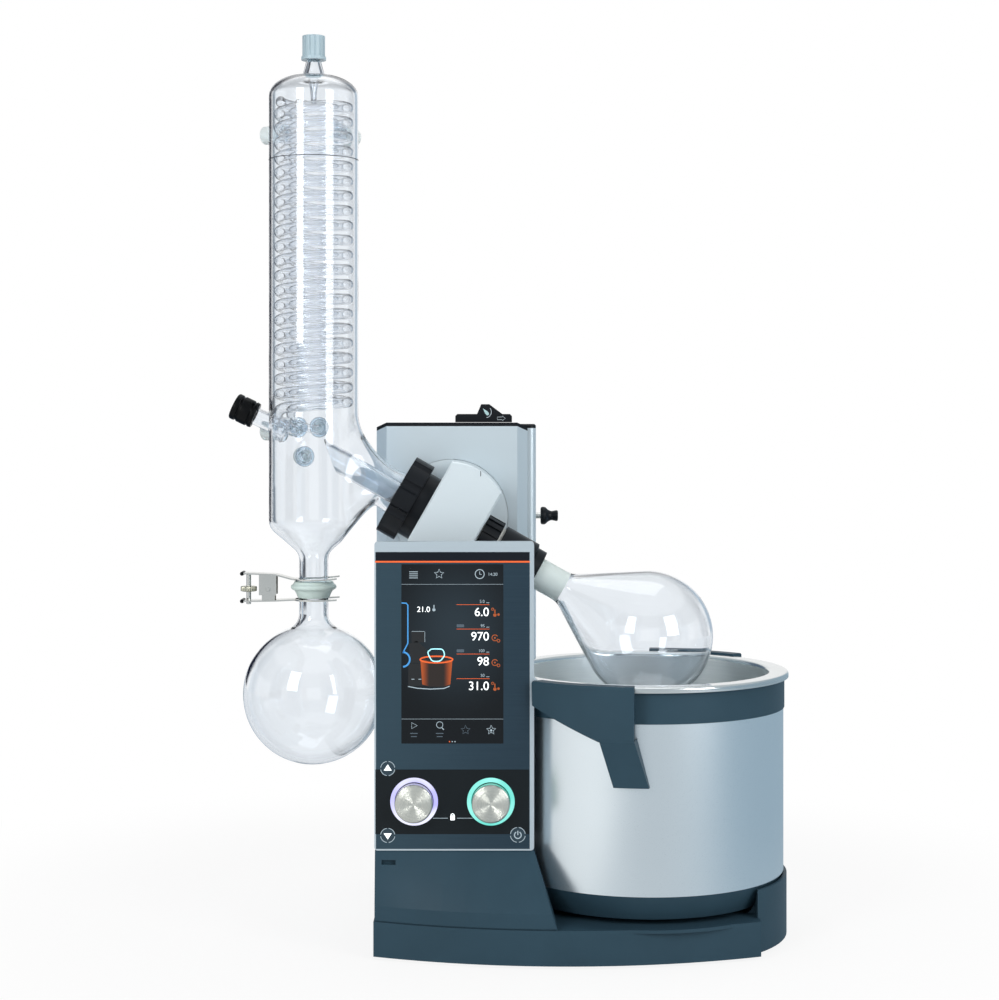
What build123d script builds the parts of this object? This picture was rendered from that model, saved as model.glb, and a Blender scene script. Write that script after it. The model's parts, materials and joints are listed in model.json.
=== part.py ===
"""Rotary evaporator: glass condenser on a tilting drive, lift column, control panel and heating bath.

Millimetres, +Z up, the operator stands at -Y. The drive, the condenser, both flasks and the bath
have their axes in one upright plane at axis_y.
"""

import os
from math import cos, degrees, radians, sin, sqrt, tan

from build123d import *

os.makedirs("parts", exist_ok=True)

# Clearances
running_gap = 0.05  # shaft in its bearing
slide_gap = 0.4  # pieces that slide or lift past each other
seat_gap = 0.3  # a piece on another body's seat

# Main places
axis_y = -36.0  # plane of the drive, glass and bath axes
tilt_x = -53.6  # tilt axis of the drum
tilt_z = 386.4
drive_angle = 29.5  # drive axis below the horizontal
drive_drop = 4.1  # drive axis below the tilt axis
condenser_x = -181.7
bath_left = -8.5  # leftmost point of the bath's rim

# Bath
pot_r = 117.0
pot_wall = 1.2
pot_floor = 92.0
pot_corner = 14.0
bath_gap = 14.0  # from the pot's inside to the jacket's outside
bath_r = pot_r + bath_gap
bath_wall = 2.0
band_proud = 1.0
rim_overhang = 4.8
rim_r = bath_r + rim_overhang
bath_x = bath_left + rim_r
foot_draw = 13.0
bath_foot_r = bath_r - foot_draw
bath_foot_z = 39.5
pad_inset = 20.0
bath_pad_r = bath_foot_r - pad_inset
jacket_low = 62.0
jacket_high = 213.0
rim_low = 240.5
rim_top = 246.0
heater_inset = 21.0
heater_r = pot_r - heater_inset
handle_reach = 18.0
handle_rise = 1.5
handle_low = 199.0
handle_lift = 27.0  # rise of the skirt's lower edge towards its start
handle_wall = 4.5
handle_start = 225.0  # degrees about the bath's axis, counted from +X
handle_span = 38.0
handle_leg_width = 31.0
handle_leg_lean = 11.0
handle_leg_low = 158.0
handle_leg_thick = 5.0  # at its foot

# Panel
panel_left = -118.4
panel_right = 23.7
panel_bottom = 96.0
panel_top = 370.8
panel_thick = 9.0
panel_clear = 2.2  # panel's back to the bath's rim
panel_back = axis_y - sqrt(rim_r**2 - (bath_x - panel_right) ** 2) - panel_clear
panel_front = panel_back - panel_thick
panel_corner = 3.0
glass_right = 19.8
glass_border = 1.4
glass_top = 361.5
glass_thick = 2.0
display_left = -94.3
display_right = -3.5
display_bottom = 190.8
display_top = 350.8
board_thick = 1.6
box_left = -100.0
box_right = -16.0
box_depth = 30.0
box_wall = 2.5
knob_left_x = -83.0
knob_right_x = -14.8
knob_z = 139.6
knob_r = 16.9
knob_length = 13.0
knob_travel = 1.0
knob_shaft_r = 3.0
light_ring_r = 21.2
light_ring_thick = 1.5

# Base
foot_height = 3.0
foot_r = 11.0
base_top = 34.0
base_wall = 3.0
base_left = -119.0
base_back = 180.0
base_tower_right = 45.0
base_plate_reach = 97.7  # right end beyond the bath's axis
base_plate_right = bath_x + base_plate_reach
base_lead = 5.0  # front corners before the panel
base_bow = 32.0
base_front_corner = panel_front - base_lead
base_front = base_front_corner - base_bow  # foremost point of the bowed front
base_collar_gap = 3.0
base_collar_r = bath_r + base_collar_gap
base_collar_top = 59.0
base_sheet = 2.0

# Console under the panel
console_left = -118.0
console_lip = 12.8
console_top = 95.6
console_toe_x = 43.6  # right end of its foot
console_back = axis_y - 62.0

# Pedestal and column
pedestal_left = -98.0
pedestal_right = -16.0
pedestal_top = 214.0
column_left = -112.0
column_right = 29.0
column_clear = 3.3  # column's front to the bath's rim
column_front = axis_y + sqrt(rim_r**2 - (bath_x - column_right) ** 2) + column_clear
column_depth = 100.0
column_top = 471.0
column_wall = 3.0
column_cap_thick = 4.0
column_slot_width = 52.0
column_slot_bottom = 190.0
column_slot_top = 455.0
rod_r = 8.0
rod_spread = 38.0  # guide rods left and right of the tilt axis
rod_y = column_front + 30.0
actuator_r = 18.0
actuator_bore = 12.0
actuator_top = 262.0
actuator_y = column_front + 66.0
actuator_rod_r = 10.0
actuator_rod_low = 106.0
stop_z = 382.0
stop_y = column_front + 50.0
stop_screw_r = 3.0
stop_slot_low = 300.0
stop_slot_high = 455.0

# Head
head_left = -126.0
head_right = 20.0
head_front = axis_y + 46.0
head_depth = 46.0
head_bottom = 300.0
head_top = 473.0
head_wall = 3.0
head_chamfer = 10.0
head_slope = 4.5  # fall of the cap over the chamfered sides
head_cap_thick = 3.5
carriage_thick = 8.0
block_low = 270.0
block_high = 350.0
arm_thick = 15.0
slider_left = -50.0
slider_length = 55.0
slider_width = 20.0
slider_height = 8.0
slider_fin = 9.5

# Drive, measured along its axis from the tilt axis, down towards the flask
drum_r = 54.5
drum_front = axis_y - 40.0
band_left = 24.4
band_right = 30.0
drum_disc = 12.0
drum_bevel = 1.5
axle_r = 18.0
collar_length = 11.5
spigot_r = 31.0
nut_width = 19.4
nut_r = 39.0
nut_lip = 5.0
nut_lip_r = 22.0
nut_grips = 9
nut_scoop_r = 6.0
nut_scoop_out = 2.8
flange_r = 29.0
flange_thick = 4.5
tube_r = 11.0
tube_wall = 2.0
shaft_r = 16.0
bearing_r = 28.0
bearing_width = 8.0
stator_r = 34.0
stator_length = 28.0
air_gap = 0.6
rotor_r = 25.5
ring_gap = 1.5
ring_r = 25.9
ring_width = 16.9
ring_ribs = 18
ring_groove_depth = 1.5
ring_groove_width = 3.6
washer_width = 2.8
sleeve_r = 24.4
sleeve_length = 34.0
sleeve_end_r = 21.0
sleeve_end_length = 10.0
button_r = 7.0
button_rise = 2.5

# Evaporating flask
cone_r = 12.0  # ground cone at the flask's mouth
cone_length = 29.0
cone_taper = 0.05  # fall of radius for each millimetre
flask_neck_r = 14.7
flask_r = 61.0
flask_centre = 215.7
flask_cone = 29.5
flask_wall = 2.4

# Condenser
jacket_r = 42.0
jacket_wall = 2.6
jacket_bottom = 378.4
jacket_shoulder = 782.6
dome_rise = 19.7
top_neck_r = 6.5
top_neck_end = 826.0
outlet_r = 13.6
outlet_bore = 10.0
outlet_cone_end = 353.9
branch_neck_r = 19.5
branch_neck_start = -66.0
branch_x = -150.0
branch_height = 108.0
branch_middle = 426.0
branch_width = 52.0
port_low_z = 472.0
port_high_z = 751.0
port_step = 4.0  # the left port below the coil's pair
port_drop = 28.0  # the lowest port below the coil's pair
coil_turns = 22
coil_pitch = 13.8
coil_outer_r = 32.0
coil_inner_r = 19.5
coil_tube = 9.5
port_r = 7.0
port_length = 16.0
port_cap_r = 8.6
port_cap_length = 15.0
cap_r = 10.6
cap_length = 22.5
cap_flange = 3.0
side_port_z = 476.8
side_port_angle = 25.7
side_port_r = 8.0
side_port_length = 28.0
side_cap_r = 12.7
side_cap_length = 23.0

# Ball joint, clip and receiving flask
ball_r = 17.5
ball_z = 319.0
ball_end = 309.0
cup_r = 19.4
cup_wall_gap = 0.1
ring_height = 11.0
ring_thick = 1.8
receiver_r = 65.8
receiver_z = 222.1
receiver_wall = 2.4
clip_thick = 1.6
clip_end = 24.0  # fork beyond the joint's axis
clip_reach = 67.0  # from the joint's axis to the far end
clip_width = 38.0
clip_arm_width = 16.0
clip_upper_z = 329.4
clip_lower_z = 301.8
clip_pin_reach = 42.0
clip_pin_r = 2.0
clip_ear = 7.0
clip_screw_reach = 61.0
clip_screw_r = 2.2
clip_nut_r = 7.5
clip_nut_width = 5.0

# Worked out from the sizes above
drive_dir = Vector(cos(radians(drive_angle)), 0, -sin(radians(drive_angle)))
drive_down = Vector(-sin(radians(drive_angle)), 0, -cos(radians(drive_angle)))
drive_origin = Vector(tilt_x, axis_y, tilt_z) + drive_down * drive_drop
drive_axis = Axis(drive_origin, drive_dir)
drive_section = Plane(origin=drive_origin, x_dir=drive_dir, z_dir=(0, -1, 0))
condenser_axis = Axis((condenser_x, axis_y, 0), (0, 0, 1))
condenser_section = Plane(origin=(condenser_x, axis_y, 0), x_dir=(1, 0, 0), z_dir=(0, -1, 0))
bath_axis = Axis((bath_x, axis_y, 0), (0, 0, 1))
bath_section = Plane(origin=(bath_x, axis_y, 0), x_dir=(1, 0, 0), z_dir=(0, -1, 0))
nut_right = -band_left - collar_length
nut_left = nut_right - nut_width
flange_left = nut_left + nut_lip + seat_gap
flange_right = flange_left + flange_thick
ring_left = band_right + ring_gap
ring_right = ring_left + ring_width
sleeve_left = ring_right + washer_width
sleeve_right = sleeve_left + sleeve_length + sleeve_end_length
mouth = sleeve_right + seat_gap
cone_end = mouth + cone_length
glass_left = panel_left + glass_border
glass_bottom = panel_bottom + glass_border
glass_back = panel_front + glass_thick
column_back = column_front + column_depth
head_back = head_front + head_depth
carriage_front = head_back - carriage_thick


def save(piece, name):
    """Labels a finished piece and writes it."""
    piece.part.label = name
    export_step(piece.part, f"parts/{name}.step")


def span(x0, x1, y0, y1, mode=Mode.ADD):
    """Adds a rectangle to the current sketch, given by its edges."""
    with Locations(((x0 + x1) / 2, (y0 + y1) / 2)):
        Rectangle(x1 - x0, y1 - y0, mode=mode)


def across(along, toward=drive_dir):
    """A plane square to the drive axis, its local x pointing to the rear."""
    return Plane(origin=drive_origin + drive_dir * along, x_dir=(0, 1, 0), z_dir=toward)


def facing(y):
    """An upright plane at y, seen from the front, with local x along +X and local y along +Z."""
    return Plane(origin=(0, y, 0), x_dir=(1, 0, 0), z_dir=(0, -1, 0))


# Base: bowed plate with a round collar for the bath, sheet underneath and feet
front_rise = base_front_corner - base_front
front_half = (base_plate_right - base_left) / 2
front_r = (front_half**2 + front_rise**2) / (2 * front_rise)
front_x = (base_plate_right + base_left) / 2
front_y = base_front + front_r


def base_outline(inset=0.0):
    """Draws the base's plan, set in by the inset."""
    span(base_left + inset, base_tower_right - inset, base_front, base_back - inset)
    span(base_left + inset, base_plate_right - inset, base_front, axis_y)
    with Locations((bath_x, axis_y)):
        Circle(base_collar_r - inset)
    with Locations((front_x, front_y)):
        Circle(front_r - inset, mode=Mode.INTERSECT)


collar_gap = 1.5
foot_slope = (bath_r - bath_foot_r) / (jacket_low - bath_foot_z)
collar_mouth_r = bath_foot_r + (base_top - bath_foot_z) * foot_slope + collar_gap
collar_lip_r = bath_foot_r + (base_collar_top - bath_foot_z) * foot_slope + collar_gap
collar_notch_x = 96.0  # the collar is open at the front, up to here from the bath's axis
collar_notch_y = axis_y - 74.0

with BuildPart() as base_shell:
    with BuildSketch(Plane.XY.offset(foot_height)):
        base_outline()
    extrude(amount=base_top - foot_height)
    with BuildSketch(Plane.XY.offset(foot_height)):
        base_outline(base_wall)
    extrude(amount=base_top - base_wall - foot_height, mode=Mode.SUBTRACT)
    with BuildSketch(bath_section):
        with BuildLine():
            Polyline(
                (collar_mouth_r, base_top - base_wall),
                (base_collar_r, base_top - base_wall),
                (base_collar_r, base_collar_top),
                (collar_lip_r, base_collar_top),
                (collar_mouth_r, base_top),
                close=True,
            )
        make_face()
    revolve(axis=bath_axis)
    with BuildSketch(Plane.XY.offset(base_top)):
        span(bath_x - base_collar_r, bath_x + collar_notch_x, base_front, collar_notch_y)
    extrude(amount=base_collar_top - base_top, mode=Mode.SUBTRACT)
save(base_shell, "base_shell")

with BuildPart() as base_plate:
    with BuildSketch(Plane.XY.offset(foot_height)):
        base_outline(base_wall + seat_gap)
    extrude(amount=base_sheet)
save(base_plate, "base_plate")

foot_inset = 24.0
foot_taper = 8.0
foot_places = [
    (base_left + foot_inset, base_front_corner + foot_inset),
    (base_left + foot_inset, base_back - foot_inset),
    (base_tower_right - foot_inset, base_back - foot_inset),
    (base_plate_right - foot_inset, base_front_corner + foot_inset),
    (bath_x + base_collar_r - foot_inset, axis_y + foot_inset),
]
with BuildPart() as rubber_feet:
    with BuildSketch():
        with Locations(*foot_places):
            Circle(foot_r)
    extrude(amount=foot_height, taper=foot_taper)
save(rubber_feet, "rubber_feet")

# Console: a lip over the bowed front, drawn up to the panel's lower edge
console_low = base_top
console_seam = 1.2  # shadow gap over the base
console_steps = 8
console_bend = console_low + console_seam + console_lip
console_rise = console_top - console_bend
console_slots = [(-112.0, 12.5), (1.5, 18.0)]  # left end and width
slot_drop = 10.0
slot_height = 4.0
slot_depth = 3.0
console_front_r = front_r - slide_gap
console_setback = 1.5
console_margin = 2.0
console_cheek = 8.0
console_top_front = panel_front + console_setback
console_side_y = panel_back + console_margin
console_inner_x = box_right + console_cheek


def lip_y(x):
    """The place of the console's lip at x, just inside the base's bowed front."""
    return front_y - sqrt(console_front_r**2 - (x - front_x) ** 2)


def console_section(x):
    """The console's upright cross-section at x: a seam, the lip and the face that leans back to the panel."""
    front = lip_y(x)
    with BuildSketch(Plane(origin=(x, 0, 0), x_dir=(0, 1, 0), z_dir=(1, 0, 0))) as section:
        Polygon(
            (console_back, console_low),
            (front + console_seam, console_low),
            (front + console_seam, console_low + console_seam),
            (front, console_low + console_seam),
            (front, console_bend),
            (console_top_front, console_top),
            (console_back, console_top),
            align=None,
        )
    return section.sketch


console_step = (console_toe_x - console_left) / console_steps
slot_z = console_top - slot_drop
slot_y = console_top_front - slot_drop * (console_top_front - lip_y(console_left)) / console_rise

with BuildPart() as console:
    loft([console_section(console_left + i * console_step) for i in range(console_steps + 1)], ruled=True)
    with BuildSketch(facing(console_back)) as right_side:
        Polygon(
            (console_toe_x, console_low),
            (2 * console_toe_x, console_low),
            (2 * console_toe_x, console_top),
            (panel_right, console_top),
            align=None,
        )
    extrude(right_side.sketch, amount=console_back - base_front, mode=Mode.SUBTRACT)
    with BuildSketch(Plane.XY.offset(console_low)) as bath_side:
        Polygon(
            (console_toe_x, base_front_corner),
            (2 * console_toe_x, base_front_corner),
            (2 * console_toe_x, console_back),
            (console_inner_x, console_back),
            (panel_right, console_side_y),
            align=None,
        )
    extrude(bath_side.sketch, amount=console_top - console_low, mode=Mode.SUBTRACT)
    with BuildSketch(facing(slot_y)) as slots:
        for slot_x, slot_width in console_slots:
            span(slot_x, slot_x + slot_width, slot_z - slot_height / 2, slot_z + slot_height / 2)
    extrude(slots.sketch, amount=slot_depth, both=True, mode=Mode.SUBTRACT)
save(console, "console")

# Panel: tray, electronics box behind it, glass, display, board, light rings and knobs
cavity_border = 6.0
cavity_floor = panel_back - box_wall
board_front = cavity_floor - board_thick
encoder_size = 14.0
shaft_end = glass_back + 0.4 * (board_front - glass_back)
knob_back = panel_front - knob_travel - seat_gap
knob_seat = 0.7 * knob_length  # depth of the knob's bore
knob_places = [(knob_left_x, knob_z), (knob_right_x, knob_z)]
box_low = panel_bottom + panel_thick
box_high = panel_top - panel_thick

with BuildPart() as panel_frame:
    with BuildSketch(facing(panel_back)):
        span(panel_left, panel_right, panel_bottom, panel_top)
    extrude(amount=panel_thick)
    fillet(panel_frame.edges().filter_by(Axis.Y), panel_corner)
    with BuildSketch(facing(panel_front)):
        span(glass_left, glass_right, glass_bottom, glass_top)
    extrude(amount=-glass_thick, mode=Mode.SUBTRACT)
    with BuildSketch(facing(glass_back)):
        span(
            glass_left + cavity_border,
            glass_right - cavity_border,
            glass_bottom + cavity_border,
            glass_top - cavity_border,
        )
    extrude(amount=glass_back - cavity_floor, mode=Mode.SUBTRACT)
save(panel_frame, "panel_frame")

with BuildPart() as rear_box:
    with BuildSketch(facing(panel_back)):
        span(box_left, box_right, box_low, box_high)
    extrude(amount=-box_depth)
    fillet(rear_box.edges().filter_by(Axis.Y), panel_corner)
    with BuildSketch(facing(panel_back)):
        span(box_left + box_wall, box_right - box_wall, box_low + box_wall, box_high - box_wall)
    extrude(amount=-(box_depth - box_wall), mode=Mode.SUBTRACT)
save(rear_box, "rear_box")

with BuildPart() as panel_glass:
    with BuildSketch(facing(glass_back)):
        span(glass_left, glass_right, glass_bottom, glass_top)
        with Locations(*knob_places):
            Circle(knob_shaft_r + slide_gap, mode=Mode.SUBTRACT)
    extrude(amount=glass_thick)
save(panel_glass, "panel_glass")

with BuildPart() as display_module:
    with BuildSketch(facing(board_front)):
        span(display_left, display_right, display_bottom, display_top)
    extrude(amount=board_front - glass_back)
save(display_module, "display_module")

with BuildPart() as control_board:
    with BuildSketch(facing(cavity_floor)):
        span(
            glass_left + cavity_border + slide_gap,
            glass_right - cavity_border - slide_gap,
            glass_bottom + cavity_border + slide_gap,
            glass_top - cavity_border - slide_gap,
        )
    extrude(amount=board_thick)
    with BuildSketch(facing(board_front)):
        with Locations(*knob_places):
            Rectangle(encoder_size, encoder_size)
            Circle(knob_shaft_r + running_gap, mode=Mode.SUBTRACT)
    extrude(amount=board_front - glass_back)
save(control_board, "control_board")

with BuildPart() as light_rings:
    with BuildSketch(facing(panel_front)):
        with Locations(*knob_places):
            Circle(light_ring_r)
            Circle(knob_r + slide_gap, mode=Mode.SUBTRACT)
    extrude(amount=light_ring_thick)
    chamfer(light_rings.faces().sort_by(Axis.Y)[:2].edges(), light_ring_thick / 3)
save(light_rings, "light_rings")


def make_knob(name, x):
    """A turned knob with a chamfered face and a blind bore, and the shaft that it turns on."""
    with BuildPart() as knob:
        with BuildSketch(facing(knob_back)):
            with Locations((x, knob_z)):
                Circle(knob_r)
        extrude(amount=knob_length)
        chamfer(knob.faces().sort_by(Axis.Y)[0].edges(), knob_r / 14)
        with BuildSketch(facing(knob_back)):
            with Locations((x, knob_z)):
                Circle(knob_shaft_r + running_gap)
        extrude(amount=knob_seat, mode=Mode.SUBTRACT)
    save(knob, f"knob_{name}")
    with BuildPart() as shaft:
        with BuildSketch(facing(shaft_end)):
            with Locations((x, knob_z)):
                Circle(knob_shaft_r)
        extrude(amount=shaft_end - knob_back + knob_seat - seat_gap)
    save(shaft, f"knob_shaft_{name}")


make_knob("left", knob_left_x)
make_knob("right", knob_right_x)

# Pedestal behind the panel, and the lift column behind the pedestal
with BuildPart() as pedestal_housing:
    with BuildSketch(Plane.XY.offset(base_top)):
        span(pedestal_left, pedestal_right, panel_back + box_depth, column_front)
    extrude(amount=pedestal_top - base_top)
    fillet(pedestal_housing.faces().sort_by(Axis.Z)[-1].edges(), column_wall)
    with BuildSketch(Plane.XY.offset(base_top)):
        span(
            pedestal_left + column_wall,
            pedestal_right - column_wall,
            panel_back + box_depth + column_wall,
            column_front - column_wall,
        )
    extrude(amount=pedestal_top - base_top - column_wall, mode=Mode.SUBTRACT)
save(pedestal_housing, "pedestal_housing")

slot_half = column_slot_width / 2
stop_slot_half = stop_screw_r + slide_gap
column_corner = 6.0
with BuildPart() as column_housing:
    with BuildSketch(Plane.XY.offset(base_top)):
        span(column_left, column_right, column_front, column_back)
    extrude(amount=column_top - base_top)
    upright_edges = column_housing.edges().filter_by(Axis.Z)
    fillet(upright_edges.group_by(Axis.Y)[0], column_corner)
    with BuildSketch(Plane.XY.offset(base_top)):
        span(
            column_left + column_wall,
            column_right - column_wall,
            column_front + column_wall,
            column_back,
        )
    extrude(amount=column_top - base_top, mode=Mode.SUBTRACT)
    with BuildSketch(facing(column_front)):
        span(tilt_x - slot_half, tilt_x + slot_half, column_slot_bottom, column_slot_top)
    extrude(amount=-column_wall, mode=Mode.SUBTRACT)
    with BuildSketch(Plane(origin=(column_right, 0, 0), x_dir=(0, 1, 0), z_dir=(1, 0, 0))):
        span(stop_y - stop_slot_half, stop_y + stop_slot_half, stop_slot_low, stop_slot_high)
    extrude(amount=-column_wall, mode=Mode.SUBTRACT)
save(column_housing, "column_housing")

inlet_x = column_right - 38.0
inlet_z = base_top + 32.0
inlet_width = 28.0
inlet_height = 20.0
inlet_depth = 22.0
inlet_flange = 4.0
inlet_wall = 2.0
inlet_pin = 2.0
inlet_pitch = 7.0
with BuildPart() as column_cover:
    with BuildSketch(facing(column_back)):
        span(column_left + column_wall, column_right - column_wall, base_top, column_top)
        with Locations((inlet_x, inlet_z)):
            Rectangle(inlet_width, inlet_height, mode=Mode.SUBTRACT)
    extrude(amount=column_wall)
save(column_cover, "column_cover")

with BuildPart() as mains_inlet:
    with BuildSketch(facing(column_back)):
        with Locations((inlet_x, inlet_z)):
            Rectangle(inlet_width + 2 * inlet_flange, inlet_height + 2 * inlet_flange)
    extrude(amount=-inlet_wall)
    with BuildSketch(facing(column_back)):
        with Locations((inlet_x, inlet_z)):
            Rectangle(inlet_width, inlet_height)
    extrude(amount=inlet_depth)
    with BuildSketch(facing(column_back + inlet_wall)):
        with Locations((inlet_x, inlet_z)):
            Rectangle(inlet_width - 2 * inlet_wall, inlet_height - 2 * inlet_wall)
    extrude(amount=inlet_depth, mode=Mode.SUBTRACT)
    with BuildSketch(facing(column_back)):
        with Locations((inlet_x, inlet_z)):
            with GridLocations(inlet_pitch, 0, 3, 1):
                Rectangle(inlet_pin, 2 * inlet_pin)
    extrude(amount=inlet_depth - inlet_wall)
save(mains_inlet, "mains_inlet")

with BuildPart() as column_cap:
    with BuildSketch(Plane.XY.offset(column_top)):
        span(column_left, column_right, column_front, column_back)
    extrude(amount=column_cap_thick)
    front_edges = column_cap.edges().filter_by(Axis.Z).group_by(Axis.Y)[0]
    fillet(front_edges, column_corner)
    chamfer(column_cap.faces().sort_by(Axis.Z)[-1].edges(), column_cap_thick / 3)
save(column_cap, "column_cap")

rod_places = [(tilt_x - rod_spread, rod_y), (tilt_x + rod_spread, rod_y)]
with BuildPart() as guide_rods:
    with BuildSketch(Plane.XY.offset(base_top)):
        with Locations(*rod_places):
            Circle(rod_r)
    extrude(amount=column_top - base_top)
save(guide_rods, "guide_rods")

actuator_gland = 12.0
actuator_floor = 6.0
with BuildPart() as actuator_tube:
    with BuildSketch(Plane.XY.offset(base_top)):
        with Locations((tilt_x, actuator_y)):
            Circle(actuator_r)
    extrude(amount=actuator_top - base_top)
    with BuildSketch(Plane.XY.offset(base_top + actuator_floor)):
        with Locations((tilt_x, actuator_y)):
            Circle(actuator_bore)
    extrude(amount=actuator_top - actuator_gland - base_top - actuator_floor, mode=Mode.SUBTRACT)
    with BuildSketch(Plane.XY.offset(actuator_top)):
        with Locations((tilt_x, actuator_y)):
            Circle(actuator_rod_r + running_gap)
    extrude(amount=-actuator_gland, mode=Mode.SUBTRACT)
save(actuator_tube, "actuator_tube")

# Immersion-depth stop in the column's right wall
stop_plane = Plane(origin=(column_right, stop_y, stop_z), x_dir=(0, 1, 0), z_dir=(1, 0, 0))
stop_plate = 22.0
stop_plate_thick = 5.0
stop_knob_gap = 5.5
stop_lobe_r = 9.6
stop_lobe_width = 7.0
stop_grip_r = 5.0
stop_grip_length = 10.7
stop_lobes = 6
stop_scoop_r = 3.6
stop_scoop_out = 1.6
with BuildPart() as depth_stop:
    with BuildSketch(stop_plane.offset(-column_wall - slide_gap)):
        Rectangle(stop_plate, stop_plate)
    extrude(amount=-stop_plate_thick)
    with BuildSketch(stop_plane.offset(-column_wall - slide_gap)):
        Circle(stop_screw_r)
    extrude(amount=column_wall + slide_gap + stop_knob_gap + stop_lobe_width)
save(depth_stop, "depth_stop")

with BuildPart() as stop_knob:
    with BuildSketch(stop_plane.offset(stop_knob_gap)):
        Circle(stop_lobe_r)
        with PolarLocations(stop_lobe_r + stop_scoop_out, stop_lobes):
            Circle(stop_scoop_r, mode=Mode.SUBTRACT)
    extrude(amount=stop_lobe_width)
    with BuildSketch(stop_plane.offset(stop_knob_gap + stop_lobe_width)):
        Circle(stop_grip_r)
    extrude(amount=stop_grip_length)
    chamfer(stop_knob.faces().sort_by(Axis.X)[-1].edges(), stop_grip_r / 6)
    with BuildSketch(stop_plane.offset(stop_knob_gap)):
        Circle(stop_screw_r + running_gap)
    extrude(amount=stop_lobe_width + seat_gap, mode=Mode.SUBTRACT)
save(stop_knob, "stop_knob")

# Head: shell with the drum's round opening, cap, carriage, bushes, actuator rod and tilt bearing
head_shelf = head_top - head_slope


def head_plan():
    """Draws the head's plan, with its two front corners cut off."""
    Polygon(
        (head_left, head_back),
        (head_left, head_front + head_chamfer),
        (head_left + head_chamfer, head_front),
        (head_right - head_chamfer, head_front),
        (head_right, head_front + head_chamfer),
        (head_right, head_back),
        align=None,
    )


def head_profile(low, lift=0.0):
    """Draws the head's front profile from a low edge to its sloping top, which may be raised."""
    Polygon(
        (head_left, low),
        (head_left, head_shelf + lift),
        (head_left + head_chamfer, head_top + lift),
        (head_right - head_chamfer, head_top + lift),
        (head_right, head_shelf + lift),
        (head_right, low),
        align=None,
    )


with BuildPart() as head_shell:
    with BuildSketch(facing(head_back)):
        head_profile(head_bottom)
    extrude(amount=head_depth)
    with BuildSketch(Plane.XY.offset(head_bottom)):
        head_plan()
    extrude(amount=head_top - head_bottom, mode=Mode.INTERSECT)
    with BuildSketch(Plane.XY.offset(head_bottom + head_wall)):
        span(
            head_left + head_chamfer,
            head_right - head_chamfer,
            head_front + head_wall,
            head_back,
        )
        span(
            head_left + head_wall,
            head_right - head_wall,
            head_front + head_chamfer + head_wall,
            head_back,
        )
    extrude(amount=head_top - head_bottom, mode=Mode.SUBTRACT)
    with BuildSketch(facing(head_front)):
        with Locations((tilt_x, tilt_z)):
            Circle(drum_r + slide_gap)
    extrude(amount=-head_wall, mode=Mode.SUBTRACT)
save(head_shell, "head_shell")

with BuildPart() as head_cap:
    with BuildSketch(facing(head_back)):
        head_profile(head_shelf - head_cap_thick, head_cap_thick)
    extrude(amount=head_depth)
    with BuildSketch(facing(head_back)):
        head_profile(head_shelf - 2 * head_cap_thick)
    extrude(amount=head_depth, mode=Mode.SUBTRACT)
    with BuildSketch(Plane.XY.offset(head_shelf - head_cap_thick)):
        head_plan()
    extrude(amount=head_slope + 2 * head_cap_thick, mode=Mode.INTERSECT)
save(head_cap, "head_cap")

carriage_margin = 8.0
neck_half = slot_half - 5.0
block_half = rod_r + 8.0
block_reach = rod_spread + block_half
arm_half = 14.0
bush_wall = 4.0
bush_length = 20.0
with BuildPart() as lift_carriage:
    with BuildSketch(facing(head_back)):
        span(
            head_left + carriage_margin,
            head_right - carriage_margin,
            head_bottom + carriage_margin,
            head_shelf - carriage_margin,
        )
    extrude(amount=carriage_thick)
    with BuildSketch(Plane.XY.offset(block_low)):
        span(tilt_x - neck_half, tilt_x + neck_half, head_back, rod_y)
        span(tilt_x - block_reach, tilt_x + block_reach, rod_y - block_half, rod_y + block_half)
        with Locations(*rod_places):
            Circle(rod_r + bush_wall, mode=Mode.SUBTRACT)
    extrude(amount=block_high - block_low)
    with BuildSketch(Plane.XY.offset(block_high - arm_thick)):
        span(
            tilt_x - arm_half,
            tilt_x + arm_half,
            rod_y + block_half,
            actuator_y + actuator_rod_r,
        )
    extrude(amount=arm_thick)
save(lift_carriage, "lift_carriage")

with BuildPart() as carriage_bushes:
    for bush_low in (block_low, block_high - bush_length):
        with BuildSketch(Plane.XY.offset(bush_low)):
            with Locations(*rod_places):
                Circle(rod_r + bush_wall)
                Circle(rod_r + running_gap, mode=Mode.SUBTRACT)
        extrude(amount=bush_length)
save(carriage_bushes, "carriage_bushes")

with BuildPart() as actuator_rod:
    with BuildSketch(Plane.XY.offset(actuator_rod_low)):
        with Locations((tilt_x, actuator_y)):
            Circle(actuator_rod_r)
    extrude(amount=block_high - arm_thick - actuator_rod_low)
save(actuator_rod, "actuator_rod")

bearing_length = 20.0
bearing_flange = 16.0
with BuildPart() as tilt_bearing:
    with BuildSketch(facing(carriage_front)):
        with Locations((tilt_x, tilt_z)):
            Circle(axle_r + bearing_flange)
            Circle(axle_r + running_gap, mode=Mode.SUBTRACT)
    extrude(amount=bearing_length)
save(tilt_bearing, "tilt_bearing")

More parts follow.
